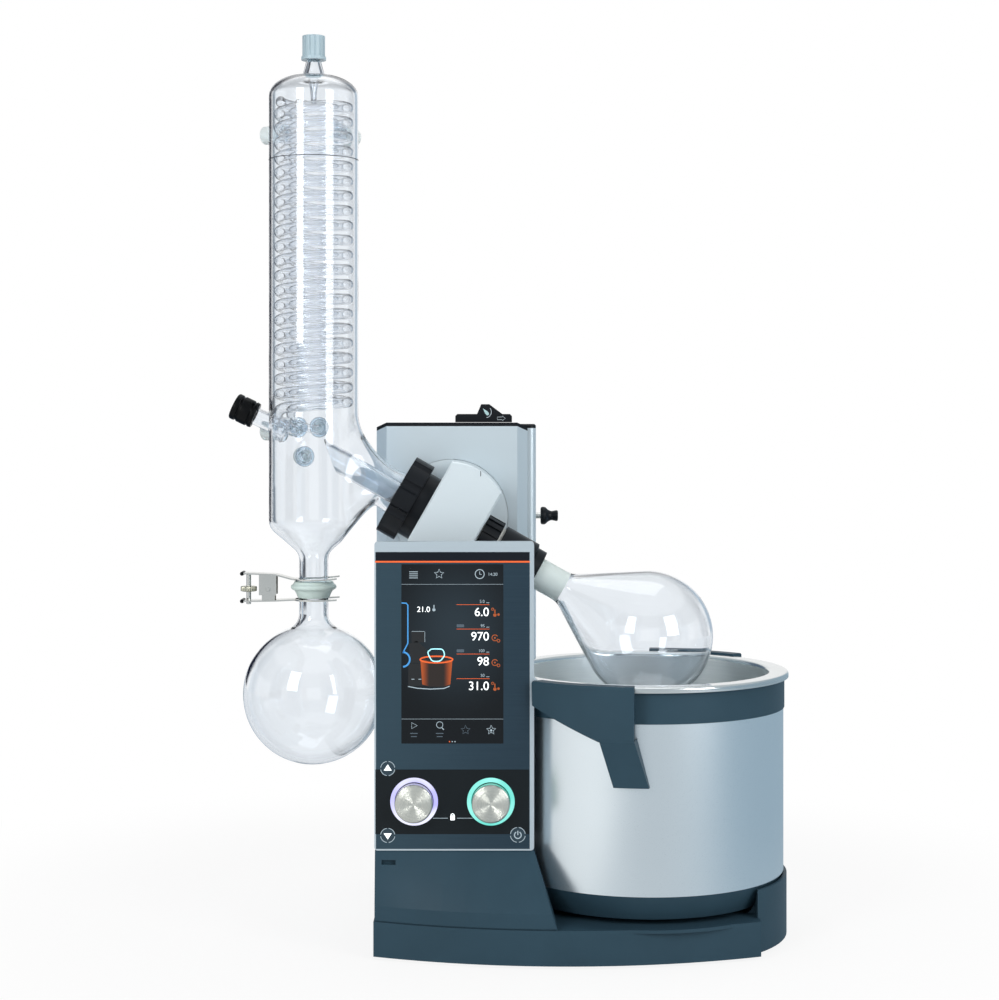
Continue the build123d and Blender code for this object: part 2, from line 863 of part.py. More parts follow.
# Tilt-release slider on the head's cap
slider_low = head_top + head_cap_thick + seat_gap
slider_right = slider_left + slider_length
slider_bevel = 2.0
fin_left = slider_left + 0.42 * slider_length
fin_right = slider_left + 0.6 * slider_length
fin_foot = slider_right - 0.17 * slider_length
with BuildPart() as tilt_slider:
    with BuildSketch(facing((head_front + head_back + slider_width) / 2)):
        with BuildLine():
            Polyline(
                (slider_left, slider_low),
                (slider_right, slider_low),
                (slider_right, slider_low + slider_height - slider_bevel),
                (slider_right - slider_bevel, slider_low + slider_height),
                (fin_foot, slider_low + slider_height),
                (fin_right, slider_low + slider_height + slider_fin),
                (fin_left + slider_bevel, slider_low + slider_height + slider_fin),
                (fin_left - slider_bevel, slider_low + slider_height),
                (slider_left + slider_bevel, slider_low + slider_height),
                (slider_left, slider_low + slider_height - slider_bevel),
                close=True,
            )
        make_face()
    extrude(amount=slider_width)
save(tilt_slider, "tilt_slider")

# Drive: tilting drum with its axle, bored along the drive axis
stator_left = -band_left + bearing_width + ring_gap
stator_right = stator_left + stator_length
shield_left = band_right - bearing_width - ring_gap
bearing_starts = (-band_left + ring_gap / 2, shield_left + ring_gap / 2)
spigot_left = flange_right
seal_width = 9.0
seal_r = 20.0
collar_r = 32.0
shaft_left = spigot_left + seal_width + ring_gap
band_slant = Plane(origin=(tilt_x, drum_front, tilt_z), x_dir=drive_dir, z_dir=(0, -1, 0))
with BuildPart() as tilt_drum:
    with BuildSketch(facing(head_front + drum_disc)):
        with Locations((tilt_x, tilt_z)):
            Circle(drum_r)
    extrude(amount=drum_disc)
    with BuildSketch(band_slant):
        Circle(drum_r)
        span(-band_left, band_right, -drum_r, drum_r, mode=Mode.INTERSECT)
    extrude(amount=drum_front - head_front)
    chamfer(tilt_drum.faces().sort_by(Axis.Y)[0].edges(), drum_bevel)
    with BuildSketch(facing(carriage_front - seat_gap)):
        with Locations((tilt_x, tilt_z)):
            Circle(axle_r)
    extrude(amount=carriage_front - seat_gap - head_front - drum_disc)
    with BuildSketch(across(-band_left)):
        Circle(bearing_r)
    extrude(amount=band_left + band_right, mode=Mode.SUBTRACT)
    with BuildSketch(across(stator_left)):
        Circle(stator_r)
    extrude(amount=band_right - stator_left, mode=Mode.SUBTRACT)
save(tilt_drum, "tilt_drum")


def ring_at(start, end, inner, outer):
    """Adds a ring about the drive axis to the current part."""
    with BuildSketch(across(start)) as section:
        Circle(outer)
        Circle(inner, mode=Mode.SUBTRACT)
    extrude(section.sketch, amount=end - start)


with BuildPart() as end_shield:
    ring_at(shield_left, band_right, bearing_r, stator_r)
save(end_shield, "end_shield")

with BuildPart() as motor_stator:
    ring_at(stator_left, stator_right, rotor_r + air_gap, stator_r)
save(motor_stator, "motor_stator")

with BuildPart() as drive_bearings:
    for bearing_start in bearing_starts:
        ring_at(bearing_start, bearing_start + bearing_width, shaft_r + running_gap, bearing_r)
save(drive_bearings, "drive_bearings")

with BuildPart() as coupling_spigot:
    ring_at(nut_right, -band_left, shaft_r + slide_gap, collar_r)
    ring_at(spigot_left, nut_right, seal_r, spigot_r)
save(coupling_spigot, "coupling_spigot")

with BuildPart() as shaft_seal:
    ring_at(spigot_left, spigot_left + seal_width, tube_r + running_gap, seal_r)
save(shaft_seal, "shaft_seal")

with BuildPart() as union_nut:
    with BuildSketch(across(nut_left)):
        Circle(nut_r)
        with PolarLocations(nut_r + nut_scoop_out, nut_grips):
            Circle(nut_scoop_r, mode=Mode.SUBTRACT)
        Circle(nut_lip_r, mode=Mode.SUBTRACT)
    extrude(amount=nut_width - seat_gap)
    with BuildSketch(across(nut_left + nut_lip)):
        Circle(spigot_r + slide_gap)
    extrude(amount=nut_width, mode=Mode.SUBTRACT)
save(union_nut, "union_nut")

# Rotor: hollow shaft, motor rotor, vapour tube, clamp and flask, which spin together
shaft_nose = 18.0
with BuildPart() as hollow_shaft:
    ring_at(shaft_left, sleeve_left + shaft_nose, tube_r, shaft_r)
    ring_at(ring_right, sleeve_left, shaft_r, sleeve_end_r)
save(hollow_shaft, "hollow_shaft")

with BuildPart() as motor_rotor:
    ring_at(stator_left, stator_right, shaft_r, rotor_r)
save(motor_rotor, "motor_rotor")

with BuildPart() as clamp_ring:
    with BuildSketch(across(ring_left)):
        Circle(ring_r)
        with PolarLocations(ring_r, ring_ribs):
            Rectangle(2 * ring_groove_depth, ring_groove_width, mode=Mode.SUBTRACT)
        Circle(shaft_r + slide_gap, mode=Mode.SUBTRACT)
    extrude(amount=ring_width - seat_gap)
save(clamp_ring, "clamp_ring")

button_along = sleeve_left + 11.0
button_plane = Plane(
    origin=drive_origin + drive_dir * button_along, x_dir=drive_dir, z_dir=(0, -1, 0)
)
sleeve_clear = 1.2
button_floor = shaft_r + sleeve_clear
button_travel = 1.5
sleeve_bore = cone_r + sleeve_clear
with BuildPart() as clamp_sleeve:
    ring_at(sleeve_left, sleeve_left + sleeve_length, shaft_r, sleeve_r)
    with BuildSketch(drive_section):
        with BuildLine():
            Polyline(
                (sleeve_left + shaft_nose, sleeve_bore),
                (sleeve_left + shaft_nose, shaft_r + ring_gap),
                (sleeve_left + sleeve_length, sleeve_r),
                (sleeve_left + sleeve_length + ring_gap, sleeve_end_r),
                (sleeve_right, sleeve_end_r),
                (sleeve_right, sleeve_bore),
                close=True,
            )
        make_face()
    revolve(axis=drive_axis)
    with BuildSketch(button_plane.offset(button_floor)):
        Circle(button_r + slide_gap)
    extrude(amount=sleeve_r, mode=Mode.SUBTRACT)
save(clamp_sleeve, "clamp_sleeve")

with BuildPart() as clamp_button:
    with BuildSketch(button_plane.offset(button_floor + button_travel + seat_gap)):
        Circle(button_r)
    extrude(amount=sleeve_r + button_rise / 2 - button_floor - button_travel - seat_gap)
    chamfer(clamp_button.faces().sort_by(Axis.Y)[0].edges(), button_rise / 4)
save(clamp_button, "clamp_button")

tube_tip = -140.0
tube_slant = 26.0  # the tip is cut on the slant over this length
tube_bore = tube_r - tube_wall
cone_tip_r = cone_r - cone_taper * cone_length
with BuildPart() as vapour_tube:
    with BuildSketch(drive_section):
        with BuildLine():
            Polyline(
                (tube_tip, tube_bore),
                (tube_tip, tube_r),
                (mouth - 2 * tube_wall, tube_r),
                (mouth, cone_r),
                (cone_end, cone_tip_r),
                (cone_end, tube_bore),
                close=True,
            )
        make_face()
    revolve(axis=drive_axis)
    with BuildSketch(drive_section):
        with BuildLine():
            Polyline(
                (tube_tip - tube_slant, tube_r + tube_wall),
                (tube_tip - tube_slant / 12, tube_r + tube_wall),
                (tube_tip + tube_slant, -tube_r - tube_wall),
                (tube_tip - tube_slant, -tube_r - tube_wall),
                close=True,
            )
        make_face()
    extrude(amount=tube_r + tube_wall, both=True, mode=Mode.SUBTRACT)
save(vapour_tube, "vapour_tube")

flask_sin = sin(radians(flask_cone))
flask_cos = cos(radians(flask_cone))
flask_tan = tan(radians(flask_cone))
half_turn = radians(90 + flask_cone) / 2
inner_r = flask_r - flask_wall
waist = cone_end + flask_wall


def ball_point(radius, angle):
    """A point on the flask's ball in its half-section, at an angle from the axis."""
    return (flask_centre + radius * cos(angle), radius * sin(angle))


def cone_radius(radius, along):
    """Radius of the cone that runs tangent onto a ball of the given radius."""
    return radius * flask_cos - flask_tan * (flask_centre - radius * flask_sin - along)


neck_end = flask_centre - flask_r * flask_sin - (flask_r * flask_cos - flask_neck_r) / flask_tan
with BuildPart() as evaporating_flask:
    with BuildSketch(drive_section):
        with BuildLine():
            Polyline(
                (mouth, cone_r + running_gap),
                (mouth, flask_neck_r),
                (neck_end, flask_neck_r),
                ball_point(flask_r, 2 * half_turn),
            )
            ThreePointArc(
                ball_point(flask_r, 2 * half_turn),
                ball_point(flask_r, half_turn),
                ball_point(flask_r, 0),
            )
            Line(ball_point(flask_r, 0), ball_point(inner_r, 0))
            ThreePointArc(
                ball_point(inner_r, 0),
                ball_point(inner_r, half_turn),
                ball_point(inner_r, 2 * half_turn),
            )
            Polyline(
                ball_point(inner_r, 2 * half_turn),
                (waist, cone_radius(inner_r, waist)),
                (cone_end, cone_tip_r + running_gap),
                (mouth, cone_r + running_gap),
            )
        make_face()
    revolve(axis=drive_axis)
save(evaporating_flask, "evaporating_flask")

# Condenser: jacket with its slanted branch, hose ports and side port
jacket_bore = jacket_r - jacket_wall
ball_neck_z = ball_z + sqrt(ball_r**2 - outlet_r**2)
ball_end_r = sqrt(ball_r**2 - (ball_z - ball_end) ** 2)
dome_rim = top_neck_r + jacket_wall
top_bore = top_neck_r - jacket_wall
side_dir = Vector(-cos(radians(side_port_angle)), 0, sin(radians(side_port_angle)))
side_plane = Plane(
    origin=(condenser_x - jacket_r, axis_y, side_port_z), x_dir=(0, 1, 0), z_dir=side_dir
)
hose_ports = [
    (117, port_low_z),
    (88, port_low_z),
    (145, port_low_z - port_step),
    (108, port_low_z - port_drop),
    (145, port_high_z),
    (55, port_high_z),
]
branch_plane = Plane(
    origin=(branch_x, axis_y, branch_middle), x_dir=(0, 1, 0), z_dir=(1, 0, 0)
)


def port_plane(angle, z, reach=0.0):
    """A plane square to a hose port, that far out from the condenser's axis."""
    out = Vector(cos(radians(angle)), sin(radians(angle)), 0)
    centre = Vector(condenser_x, axis_y, z)
    return Plane(origin=centre + out * reach, x_dir=(0, 0, 1), z_dir=out)


def branch(inset=0.0, mode=Mode.ADD):
    """Lofts the branch from the jacket's wall to its round neck, set in by the inset."""
    with BuildSketch(branch_plane) as root:
        Ellipse(branch_width / 2 - inset, branch_height / 2 - inset)
    with BuildSketch(across(branch_neck_start)) as neck:
        Circle(branch_neck_r - inset)
    loft([root.sketch.face(), neck.sketch.face()], mode=mode)


with BuildPart() as condenser_jacket:
    with BuildSketch(condenser_section):
        with BuildLine():
            Polyline((0, ball_end), (ball_end_r, ball_end))
            ThreePointArc((ball_end_r, ball_end), (ball_r, ball_z), (outlet_r, ball_neck_z))
            Polyline(
                (outlet_r, ball_neck_z),
                (outlet_r, outlet_cone_end),
                (jacket_r, jacket_bottom),
                (jacket_r, jacket_shoulder),
            )
            EllipticalCenterArc(
                (dome_rim, jacket_shoulder), jacket_r - dome_rim, dome_rise, 0, arc_size=90
            )
            Polyline(
                (dome_rim, jacket_shoulder + dome_rise),
                (top_neck_r, jacket_shoulder + dome_rise + jacket_wall),
                (top_neck_r, top_neck_end),
                (0, top_neck_end),
                (0, ball_end),
            )
        make_face()
    revolve(axis=condenser_axis)
    branch()
    ring_at(branch_neck_start, flange_left, 0.5 * tube_r, branch_neck_r)
    ring_at(flange_left, flange_right, 0.5 * tube_r, flange_r)
    for port in hose_ports:
        with BuildSketch(port_plane(*port, jacket_bore)):
            Circle(port_r)
        extrude(amount=port_length + jacket_wall)
    with BuildSketch(side_plane.offset(-jacket_wall)):
        Circle(side_port_r)
    extrude(amount=side_port_length + jacket_wall)
    with BuildSketch(condenser_section):
        with BuildLine():
            Polyline(
                (0, ball_end),
                (outlet_bore, ball_end),
                (outlet_bore, outlet_cone_end + jacket_wall),
                (jacket_bore, jacket_bottom + jacket_wall / 2),
                (jacket_bore, jacket_shoulder),
            )
            EllipticalCenterArc(
                (top_neck_r, jacket_shoulder),
                jacket_bore - top_neck_r,
                dome_rise - jacket_wall,
                0,
                arc_size=90,
            )
            Polyline(
                (top_neck_r, jacket_shoulder + dome_rise - jacket_wall),
                (top_bore, jacket_shoulder + dome_rise),
                (top_bore, top_neck_end),
                (0, top_neck_end),
                (0, ball_end),
            )
        make_face()
    revolve(axis=condenser_axis, mode=Mode.SUBTRACT)
    branch(jacket_wall, Mode.SUBTRACT)
    with BuildSketch(across(branch_neck_start)):
        Circle(branch_neck_r - jacket_wall)
    extrude(amount=flange_right - branch_neck_start, mode=Mode.SUBTRACT)
    for port in hose_ports:
        with BuildSketch(port_plane(*port, jacket_bore - jacket_wall)):
            Circle(port_r - jacket_wall)
        extrude(amount=port_length + 2 * jacket_wall, mode=Mode.SUBTRACT)
    with BuildSketch(side_plane.offset(-2 * jacket_wall)):
        Circle(side_port_r - jacket_wall)
    extrude(amount=side_port_length + 2 * jacket_wall, mode=Mode.SUBTRACT)
save(condenser_jacket, "condenser_jacket")

# Condenser coil: two windings, joined at the top, their feet on two hose ports
coil_height = coil_turns * coil_pitch
bead_r = 1.1 * coil_tube / 2
leg_r = 0.9 * coil_tube / 2


def winding(radius, angle):
    """Sweeps one winding up from its foot, with the leg that runs out to the port at that angle."""
    with BuildLine(Plane(origin=(condenser_x, axis_y, port_low_z))) as turns:
        Helix(pitch=coil_pitch, height=coil_height, radius=radius)
    path = turns.line
    with BuildSketch(Plane(origin=path @ 0, z_dir=path % 0)) as tube:
        Circle(coil_tube / 2)
    sweep(tube.sketch, path=path, is_frenet=True)
    with Locations(path @ 0, path @ 1):
        Sphere(bead_r)
    with BuildSketch(port_plane(angle, port_low_z, radius)) as leg:
        Circle(leg_r)
    extrude(leg.sketch, amount=jacket_bore - radius + seat_gap)


with BuildPart() as condenser_coil:
    winding(coil_outer_r, hose_ports[0][0])
    winding(coil_inner_r, hose_ports[1][0])
    with BuildSketch(port_plane(0, port_low_z + coil_height, coil_inner_r)):
        Circle(leg_r)
    extrude(amount=coil_outer_r - coil_inner_r)
save(condenser_coil, "condenser_coil")

# Screw caps on the condenser
port_cap_wall = 2.0
with BuildPart() as port_caps:
    for port in hose_ports:
        cap_start = jacket_bore + port_length + jacket_wall - port_cap_length + port_cap_wall
        with BuildSketch(port_plane(*port, cap_start)):
            Circle(port_cap_r)
        extrude(amount=port_cap_length)
        with BuildSketch(port_plane(*port, cap_start)):
            Circle(port_r)
        extrude(amount=port_cap_length - port_cap_wall, mode=Mode.SUBTRACT)
save(port_caps, "port_caps")

cap_low = top_neck_end - 0.4 * cap_length
cap_flutes = 14
cap_flute_r = 0.8
cap_rim = 1.0
with BuildPart() as top_cap:
    with BuildSketch(Plane(origin=(condenser_x, axis_y, cap_low))):
        Circle(cap_r)
        with PolarLocations(cap_r, cap_flutes):
            Circle(cap_flute_r, mode=Mode.SUBTRACT)
    extrude(amount=cap_length)
    with BuildSketch(Plane(origin=(condenser_x, axis_y, cap_low))):
        Circle(cap_r + cap_rim)
    extrude(amount=cap_flange)
    with BuildSketch(Plane(origin=(condenser_x, axis_y, cap_low))):
        Circle(top_neck_r + slide_gap)
    extrude(amount=top_neck_end + slide_gap - cap_low, mode=Mode.SUBTRACT)
save(top_cap, "top_cap")

side_cap_start = side_port_length - 0.62 * side_cap_length
side_cap_ribs = 20
side_cap_groove = 0.9
with BuildPart() as side_cap:
    with BuildSketch(side_plane.offset(side_cap_start)):
        Circle(side_cap_r)
        with PolarLocations(side_cap_r, side_cap_ribs):
            Circle(side_cap_groove, mode=Mode.SUBTRACT)
    extrude(amount=side_cap_length)
    with BuildSketch(side_plane.offset(side_cap_start)):
        Circle(side_port_r + slide_gap)
    extrude(amount=side_port_length + slide_gap - side_cap_start, mode=Mode.SUBTRACT)
save(side_cap, "side_cap")

# Receiving flask under the ball joint, with the joint's ring and clip
cup_low = clip_lower_z + clip_thick + seat_gap
socket_r = ball_r + cup_wall_gap
socket_low = ball_z - sqrt(socket_r**2 - outlet_bore**2)
receiver_inner = receiver_r - receiver_wall
neck_join = receiver_z + sqrt(receiver_r**2 - outlet_r**2)
bore_join = receiver_z + sqrt(receiver_inner**2 - outlet_bore**2)
cup_lip = 3.0
cup_shoulder = ball_z - cup_lip
with BuildPart() as receiving_flask:
    with BuildSketch(condenser_section):
        with BuildLine():
            ThreePointArc(
                (0, receiver_z - receiver_r), (receiver_r, receiver_z), (outlet_r, neck_join)
            )
            Polyline(
                (outlet_r, neck_join),
                (outlet_r, cup_low),
                (cup_r, cup_shoulder),
                (cup_r, ball_z),
                (socket_r, ball_z),
            )
            RadiusArc((socket_r, ball_z), (outlet_bore, socket_low), socket_r)
            Line((outlet_bore, socket_low), (outlet_bore, bore_join))
            ThreePointArc(
                (outlet_bore, bore_join),
                (receiver_inner, receiver_z),
                (0, receiver_z - receiver_inner),
            )
            Line((0, receiver_z - receiver_inner), (0, receiver_z - receiver_r))
        make_face()
    revolve(axis=condenser_axis)
save(receiving_flask, "receiving_flask")

with BuildPart() as joint_ring:
    with BuildSketch(Plane(origin=(condenser_x, axis_y, cup_shoulder))):
        Circle(cup_r + ring_thick)
        Circle(cup_r, mode=Mode.SUBTRACT)
    extrude(amount=ring_height)
save(joint_ring, "joint_ring")

clip_clear = 0.8
clip_slot_r = outlet_r + clip_clear
clip_pin_x = condenser_x - clip_pin_reach
clip_pin_z = (clip_upper_z + clip_lower_z + clip_thick) / 2
clip_screw_x = condenser_x - clip_screw_reach
ear_gap = 0.4
ear_outer = clip_arm_width / 2
ear_inner = ear_outer - clip_thick - ear_gap


def clip_plate(z, screw_hole):
    """Adds one jaw's forked plate."""
    with BuildSketch(Plane(origin=(condenser_x, axis_y, z))) as fork:
        span(-clip_reach, 0, -clip_arm_width / 2, clip_arm_width / 2)
        Circle(clip_width / 2)
        span(0, clip_end, -clip_width / 2, clip_width / 2)
        Circle(clip_slot_r, mode=Mode.SUBTRACT)
        span(0, clip_end, -clip_slot_r, clip_slot_r, mode=Mode.SUBTRACT)
        with Locations((-clip_screw_reach, 0)):
            Circle(screw_hole, mode=Mode.SUBTRACT)
    extrude(fork.sketch, amount=clip_thick)


def clip_ears(outer, low, high, bore):
    """Adds a jaw's two ears at the pin, their outer faces that far from the middle."""
    for y in (axis_y - outer + clip_thick, axis_y + outer):
        with BuildSketch(facing(y)) as ear:
            span(clip_pin_x - clip_ear, clip_pin_x + clip_ear, low, high)
            with Locations((clip_pin_x, clip_pin_z)):
                Circle(bore, mode=Mode.SUBTRACT)
        extrude(ear.sketch, amount=clip_thick)


with BuildPart() as clip_upper_jaw:
    clip_plate(clip_upper_z, clip_screw_r)
    clip_ears(ear_outer, clip_pin_z - clip_ear / 2, clip_upper_z, clip_pin_r)
    with BuildSketch(facing(axis_y + ear_outer)):
        with Locations((clip_pin_x, clip_pin_z)):
            Circle(clip_pin_r)
    extrude(amount=2 * ear_outer)
    with BuildSketch(Plane(origin=(clip_screw_x, axis_y, clip_lower_z - 2 * clip_thick))):
        Circle(clip_screw_r)
    extrude(amount=clip_upper_z + 2 * clip_thick - clip_lower_z + clip_thick)
save(clip_upper_jaw, "clip_upper_jaw")

with BuildPart() as clip_lower_jaw:
    clip_plate(clip_lower_z, 2 * clip_screw_r)
    clip_ears(
        ear_inner,
        clip_lower_z + clip_thick,
        clip_pin_z + clip_ear / 2,
        clip_pin_r + running_gap,
    )
save(clip_lower_jaw, "clip_lower_jaw")

nut_flutes = 16
nut_flute_r = 0.6
with BuildPart() as clip_nut:
    with BuildSketch(Plane(origin=(clip_screw_x, axis_y, clip_pin_z - clip_nut_width / 2))):
        Circle(clip_nut_r)
        with PolarLocations(clip_nut_r, nut_flutes):
            Circle(nut_flute_r, mode=Mode.SUBTRACT)
        Circle(clip_screw_r + running_gap, mode=Mode.SUBTRACT)
    extrude(amount=clip_nut_width)
save(clip_nut, "clip_nut")

# Bath: pot with a rolled rim, band, jacket, foot, heater and handles
band_r = bath_r + band_proud
band_top = rim_top - pot_wall
foot_wall = 3.0


def turned_bath(points):
    """Turns a half-section about the bath's axis."""
    with BuildSketch(bath_section) as section:
        Polygon(*points, align=None)
    revolve(section.sketch, axis=bath_axis)


with BuildPart() as bath_pot:
    with BuildSketch(bath_section):
        with BuildLine():
            FilletPolyline(
                (0, pot_floor - pot_wall),
                (pot_r + pot_wall, pot_floor - pot_wall),
                (pot_r + pot_wall, band_top),
                radius=pot_corner + pot_wall,
            )
            Polyline(
                (pot_r + pot_wall, band_top),
                (rim_r - pot_wall, band_top),
                (rim_r - pot_wall, rim_low),
                (rim_r, rim_low),
                (rim_r, rim_top),
                (pot_r, rim_top),
            )
            FilletPolyline(
                (pot_r, rim_top), (pot_r, pot_floor), (0, pot_floor), radius=pot_corner
            )
            Line((0, pot_floor), (0, pot_floor - pot_wall))
        make_face()
    revolve(axis=bath_axis)
save(bath_pot, "bath_pot")

with BuildPart() as bath_band:
    turned_bath(
        [
            (pot_r + pot_wall, jacket_high),
            (band_r, jacket_high),
            (band_r, band_top),
            (pot_r + pot_wall, band_top),
        ]
    )
save(bath_band, "bath_band")

with BuildPart() as bath_jacket:
    turned_bath(
        [
            (bath_r - bath_wall, jacket_low),
            (bath_r, jacket_low),
            (bath_r, jacket_high),
            (bath_r - bath_wall, jacket_high),
        ]
    )
save(bath_jacket, "bath_jacket")

with BuildPart() as bath_foot:
    turned_bath(
        [
            (0, base_top + seat_gap),
            (bath_pad_r, base_top + seat_gap),
            (bath_pad_r, bath_foot_z),
            (bath_foot_r, bath_foot_z),
            (bath_r, jacket_low),
            (bath_r - bath_wall - foot_wall, jacket_low),
            (bath_foot_r - foot_wall, bath_foot_z + foot_wall),
            (0, bath_foot_z + foot_wall),
        ]
    )
save(bath_foot, "bath_foot")

heater_thick = 8.0
heater_bore = 30.0
with BuildPart() as bath_heater:
    turned_bath(
        [
            (heater_bore, pot_floor - pot_wall - heater_thick),
            (heater_r, pot_floor - pot_wall - heater_thick),
            (heater_r, pot_floor - pot_wall),
            (heater_bore, pot_floor - pot_wall),
        ]
    )
save(bath_heater, "bath_heater")

handle_r = band_r + handle_reach
handle_top = rim_top + handle_rise
handle_under = rim_low - 2 * handle_wall
handle_cheek = 2.5
handle_bevel = 1.5


def bath_radial(angle):
    """An upright plane through the bath's axis, turned to the given angle."""
    out = (cos(radians(angle)), sin(radians(angle)), 0)
    normal = (sin(radians(angle)), -cos(radians(angle)), 0)
    return Plane(origin=(bath_x, axis_y, 0), x_dir=out, z_dir=normal)


def bath_tangent(angle):
    """An upright plane through the bath's axis that faces the given angle, local x the way the angle grows."""
    out = (cos(radians(angle)), sin(radians(angle)), 0)
    along = (-sin(radians(angle)), cos(radians(angle)), 0)
    return Plane(origin=(bath_x, axis_y, 0), x_dir=along, z_dir=out)


def hook_section(angle, inner):
    """A handle's cross-section at an angle: an arm off the band and a skirt as thick as inner leaves it."""
    root = rim_r + slide_gap
    with BuildSketch(bath_radial(angle)) as hook:
        Polygon(
            (band_r, rim_low - slide_gap),
            (root, rim_low - slide_gap),
            (root, handle_top),
            (handle_r - handle_bevel, handle_top),
            (handle_r, handle_top - handle_bevel),
            (handle_r - handle_bevel, handle_low),
            (inner, handle_low),
            (inner, handle_under),
            (band_r, handle_under),
            align=None,
        )
    return hook.sketch


def handle(start):
    """One hooked handle with a rising skirt, and the leaning leg at its end, from the start angle."""
    half = handle_r * sin(radians(handle_span / 2))
    leg_start = half - handle_leg_width
    middle = bath_tangent(start + handle_span / 2)
    cheek_inner = band_r + slide_gap
    stretches = [
        (0, handle_cheek, cheek_inner),
        (handle_cheek, handle_span - handle_cheek, handle_r - handle_wall),
        (handle_span - handle_cheek, handle_span, cheek_inner),
    ]
    with BuildPart() as whole:
        for begin, end, inner in stretches:
            revolve(hook_section(start + begin, inner), axis=bath_axis, revolution_arc=end - begin)
        with BuildSketch(middle) as slope:
            Polygon(
                (-2 * half, handle_low - handle_bevel),
                (leg_start, handle_low - handle_bevel),
                (leg_start, handle_low),
                (-half, handle_low + handle_lift),
                (-2 * half, handle_low + handle_lift),
                align=None,
            )
        extrude(slope.sketch, amount=2 * handle_r, mode=Mode.SUBTRACT)
        leg_half = handle_leg_width / 2
        leg_angle = start + handle_span - degrees(leg_half / handle_r)
        with BuildSketch(bath_tangent(leg_angle)) as leg:
            Polygon(
                (-leg_half, handle_low + handle_bevel),
                (handle_leg_lean - leg_half, handle_leg_low),
                (handle_leg_lean + leg_half, handle_leg_low),
                (leg_half, handle_low + handle_bevel),
                align=None,
            )
        extrude(leg.sketch, amount=handle_r - handle_bevel)
        with BuildSketch(bath_radial(start)) as outside:
            Polygon(
                (band_r + handle_leg_thick, handle_leg_low - handle_bevel),
                (2 * handle_r, handle_leg_low - handle_bevel),
                (2 * handle_r, handle_low),
                (handle_r - handle_bevel, handle_low),
                align=None,
            )
        revolve(outside.sketch, axis=bath_axis, revolution_arc=2 * handle_span, mode=Mode.SUBTRACT)
        with BuildSketch(Plane(origin=(bath_x, axis_y, handle_leg_low))) as core:
            Circle(band_r)
        extrude(core.sketch, amount=handle_low + handle_bevel - handle_leg_low, mode=Mode.SUBTRACT)
    return whole.part


with BuildPart() as bath_handles:
    add(handle(handle_start))
    add(handle(handle_start + 180))
save(bath_handles, "bath_handles")
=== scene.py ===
# %% [markdown]
# A rotary evaporator is mostly glass and satin metal, so its looks are won by smooth surfaces and by good
# edges. The solids of the machine are loaded first, as a frame that is never moved. Plain housings keep their
# own solids and only get a finish. Glass, turned parts and the panel's signs are drawn again as fine surfaces,
# because a lathe's facets would show in anything that bends or mirrors light.

# %% Load the machine
import json
from math import cos, pi, radians, sin

import bmesh
import bpy
import numpy as np
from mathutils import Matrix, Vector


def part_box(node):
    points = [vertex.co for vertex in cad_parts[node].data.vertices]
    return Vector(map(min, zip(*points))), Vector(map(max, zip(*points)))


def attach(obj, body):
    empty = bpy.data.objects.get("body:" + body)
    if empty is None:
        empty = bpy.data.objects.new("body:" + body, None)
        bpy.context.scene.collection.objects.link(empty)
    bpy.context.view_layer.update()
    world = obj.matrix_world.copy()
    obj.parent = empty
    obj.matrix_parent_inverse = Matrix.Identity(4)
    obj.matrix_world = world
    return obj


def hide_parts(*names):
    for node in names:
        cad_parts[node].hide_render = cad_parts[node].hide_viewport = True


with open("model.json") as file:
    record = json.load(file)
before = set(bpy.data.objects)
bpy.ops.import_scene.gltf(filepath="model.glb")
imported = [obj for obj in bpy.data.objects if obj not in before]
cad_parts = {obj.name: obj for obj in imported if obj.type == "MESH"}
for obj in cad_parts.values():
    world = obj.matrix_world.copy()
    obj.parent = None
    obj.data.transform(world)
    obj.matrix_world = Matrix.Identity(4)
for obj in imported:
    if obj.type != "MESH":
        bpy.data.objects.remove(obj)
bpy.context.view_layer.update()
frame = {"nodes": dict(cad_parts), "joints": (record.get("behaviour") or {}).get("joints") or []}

node = frame["nodes"]
joint = {j["name"]: j for j in frame["joints"]}

# %% [markdown]
# The photograph was taken level, from straight in front, with a long lens. The picture's horizon lies above its
# middle, which is done by shifting the lens and not by tilting it, so upright edges stay upright.

# %% Camera
view_distance = 1.878
view_height = 0.478
view_side = -0.0071
view_lens = 70.56
view_shift = -0.079
camera = bpy.data.objects.new("camera", bpy.data.cameras.new("camera"))
bpy.context.scene.collection.objects.link(camera)
camera.location = (view_side, -view_distance, view_height)
camera.rotation_euler = (pi / 2, 0, 0)
camera.data.lens = view_lens
camera.data.shift_y = view_shift
camera.data.clip_end = 50
bpy.context.scene.camera = camera
print("camera at", tuple(camera.location))

# %% [markdown]
# Shader maths reads best as plain expressions. A Wire is one output socket of a node. Adding or multiplying two
# wires adds a Math node, so a mask can be written as 1 - grain * 0.2. A Finish is one material's node tree, and
# its one method, add, makes every other kind of node: first its settings, then the values and links it takes.

# %% Expressions that become nodes


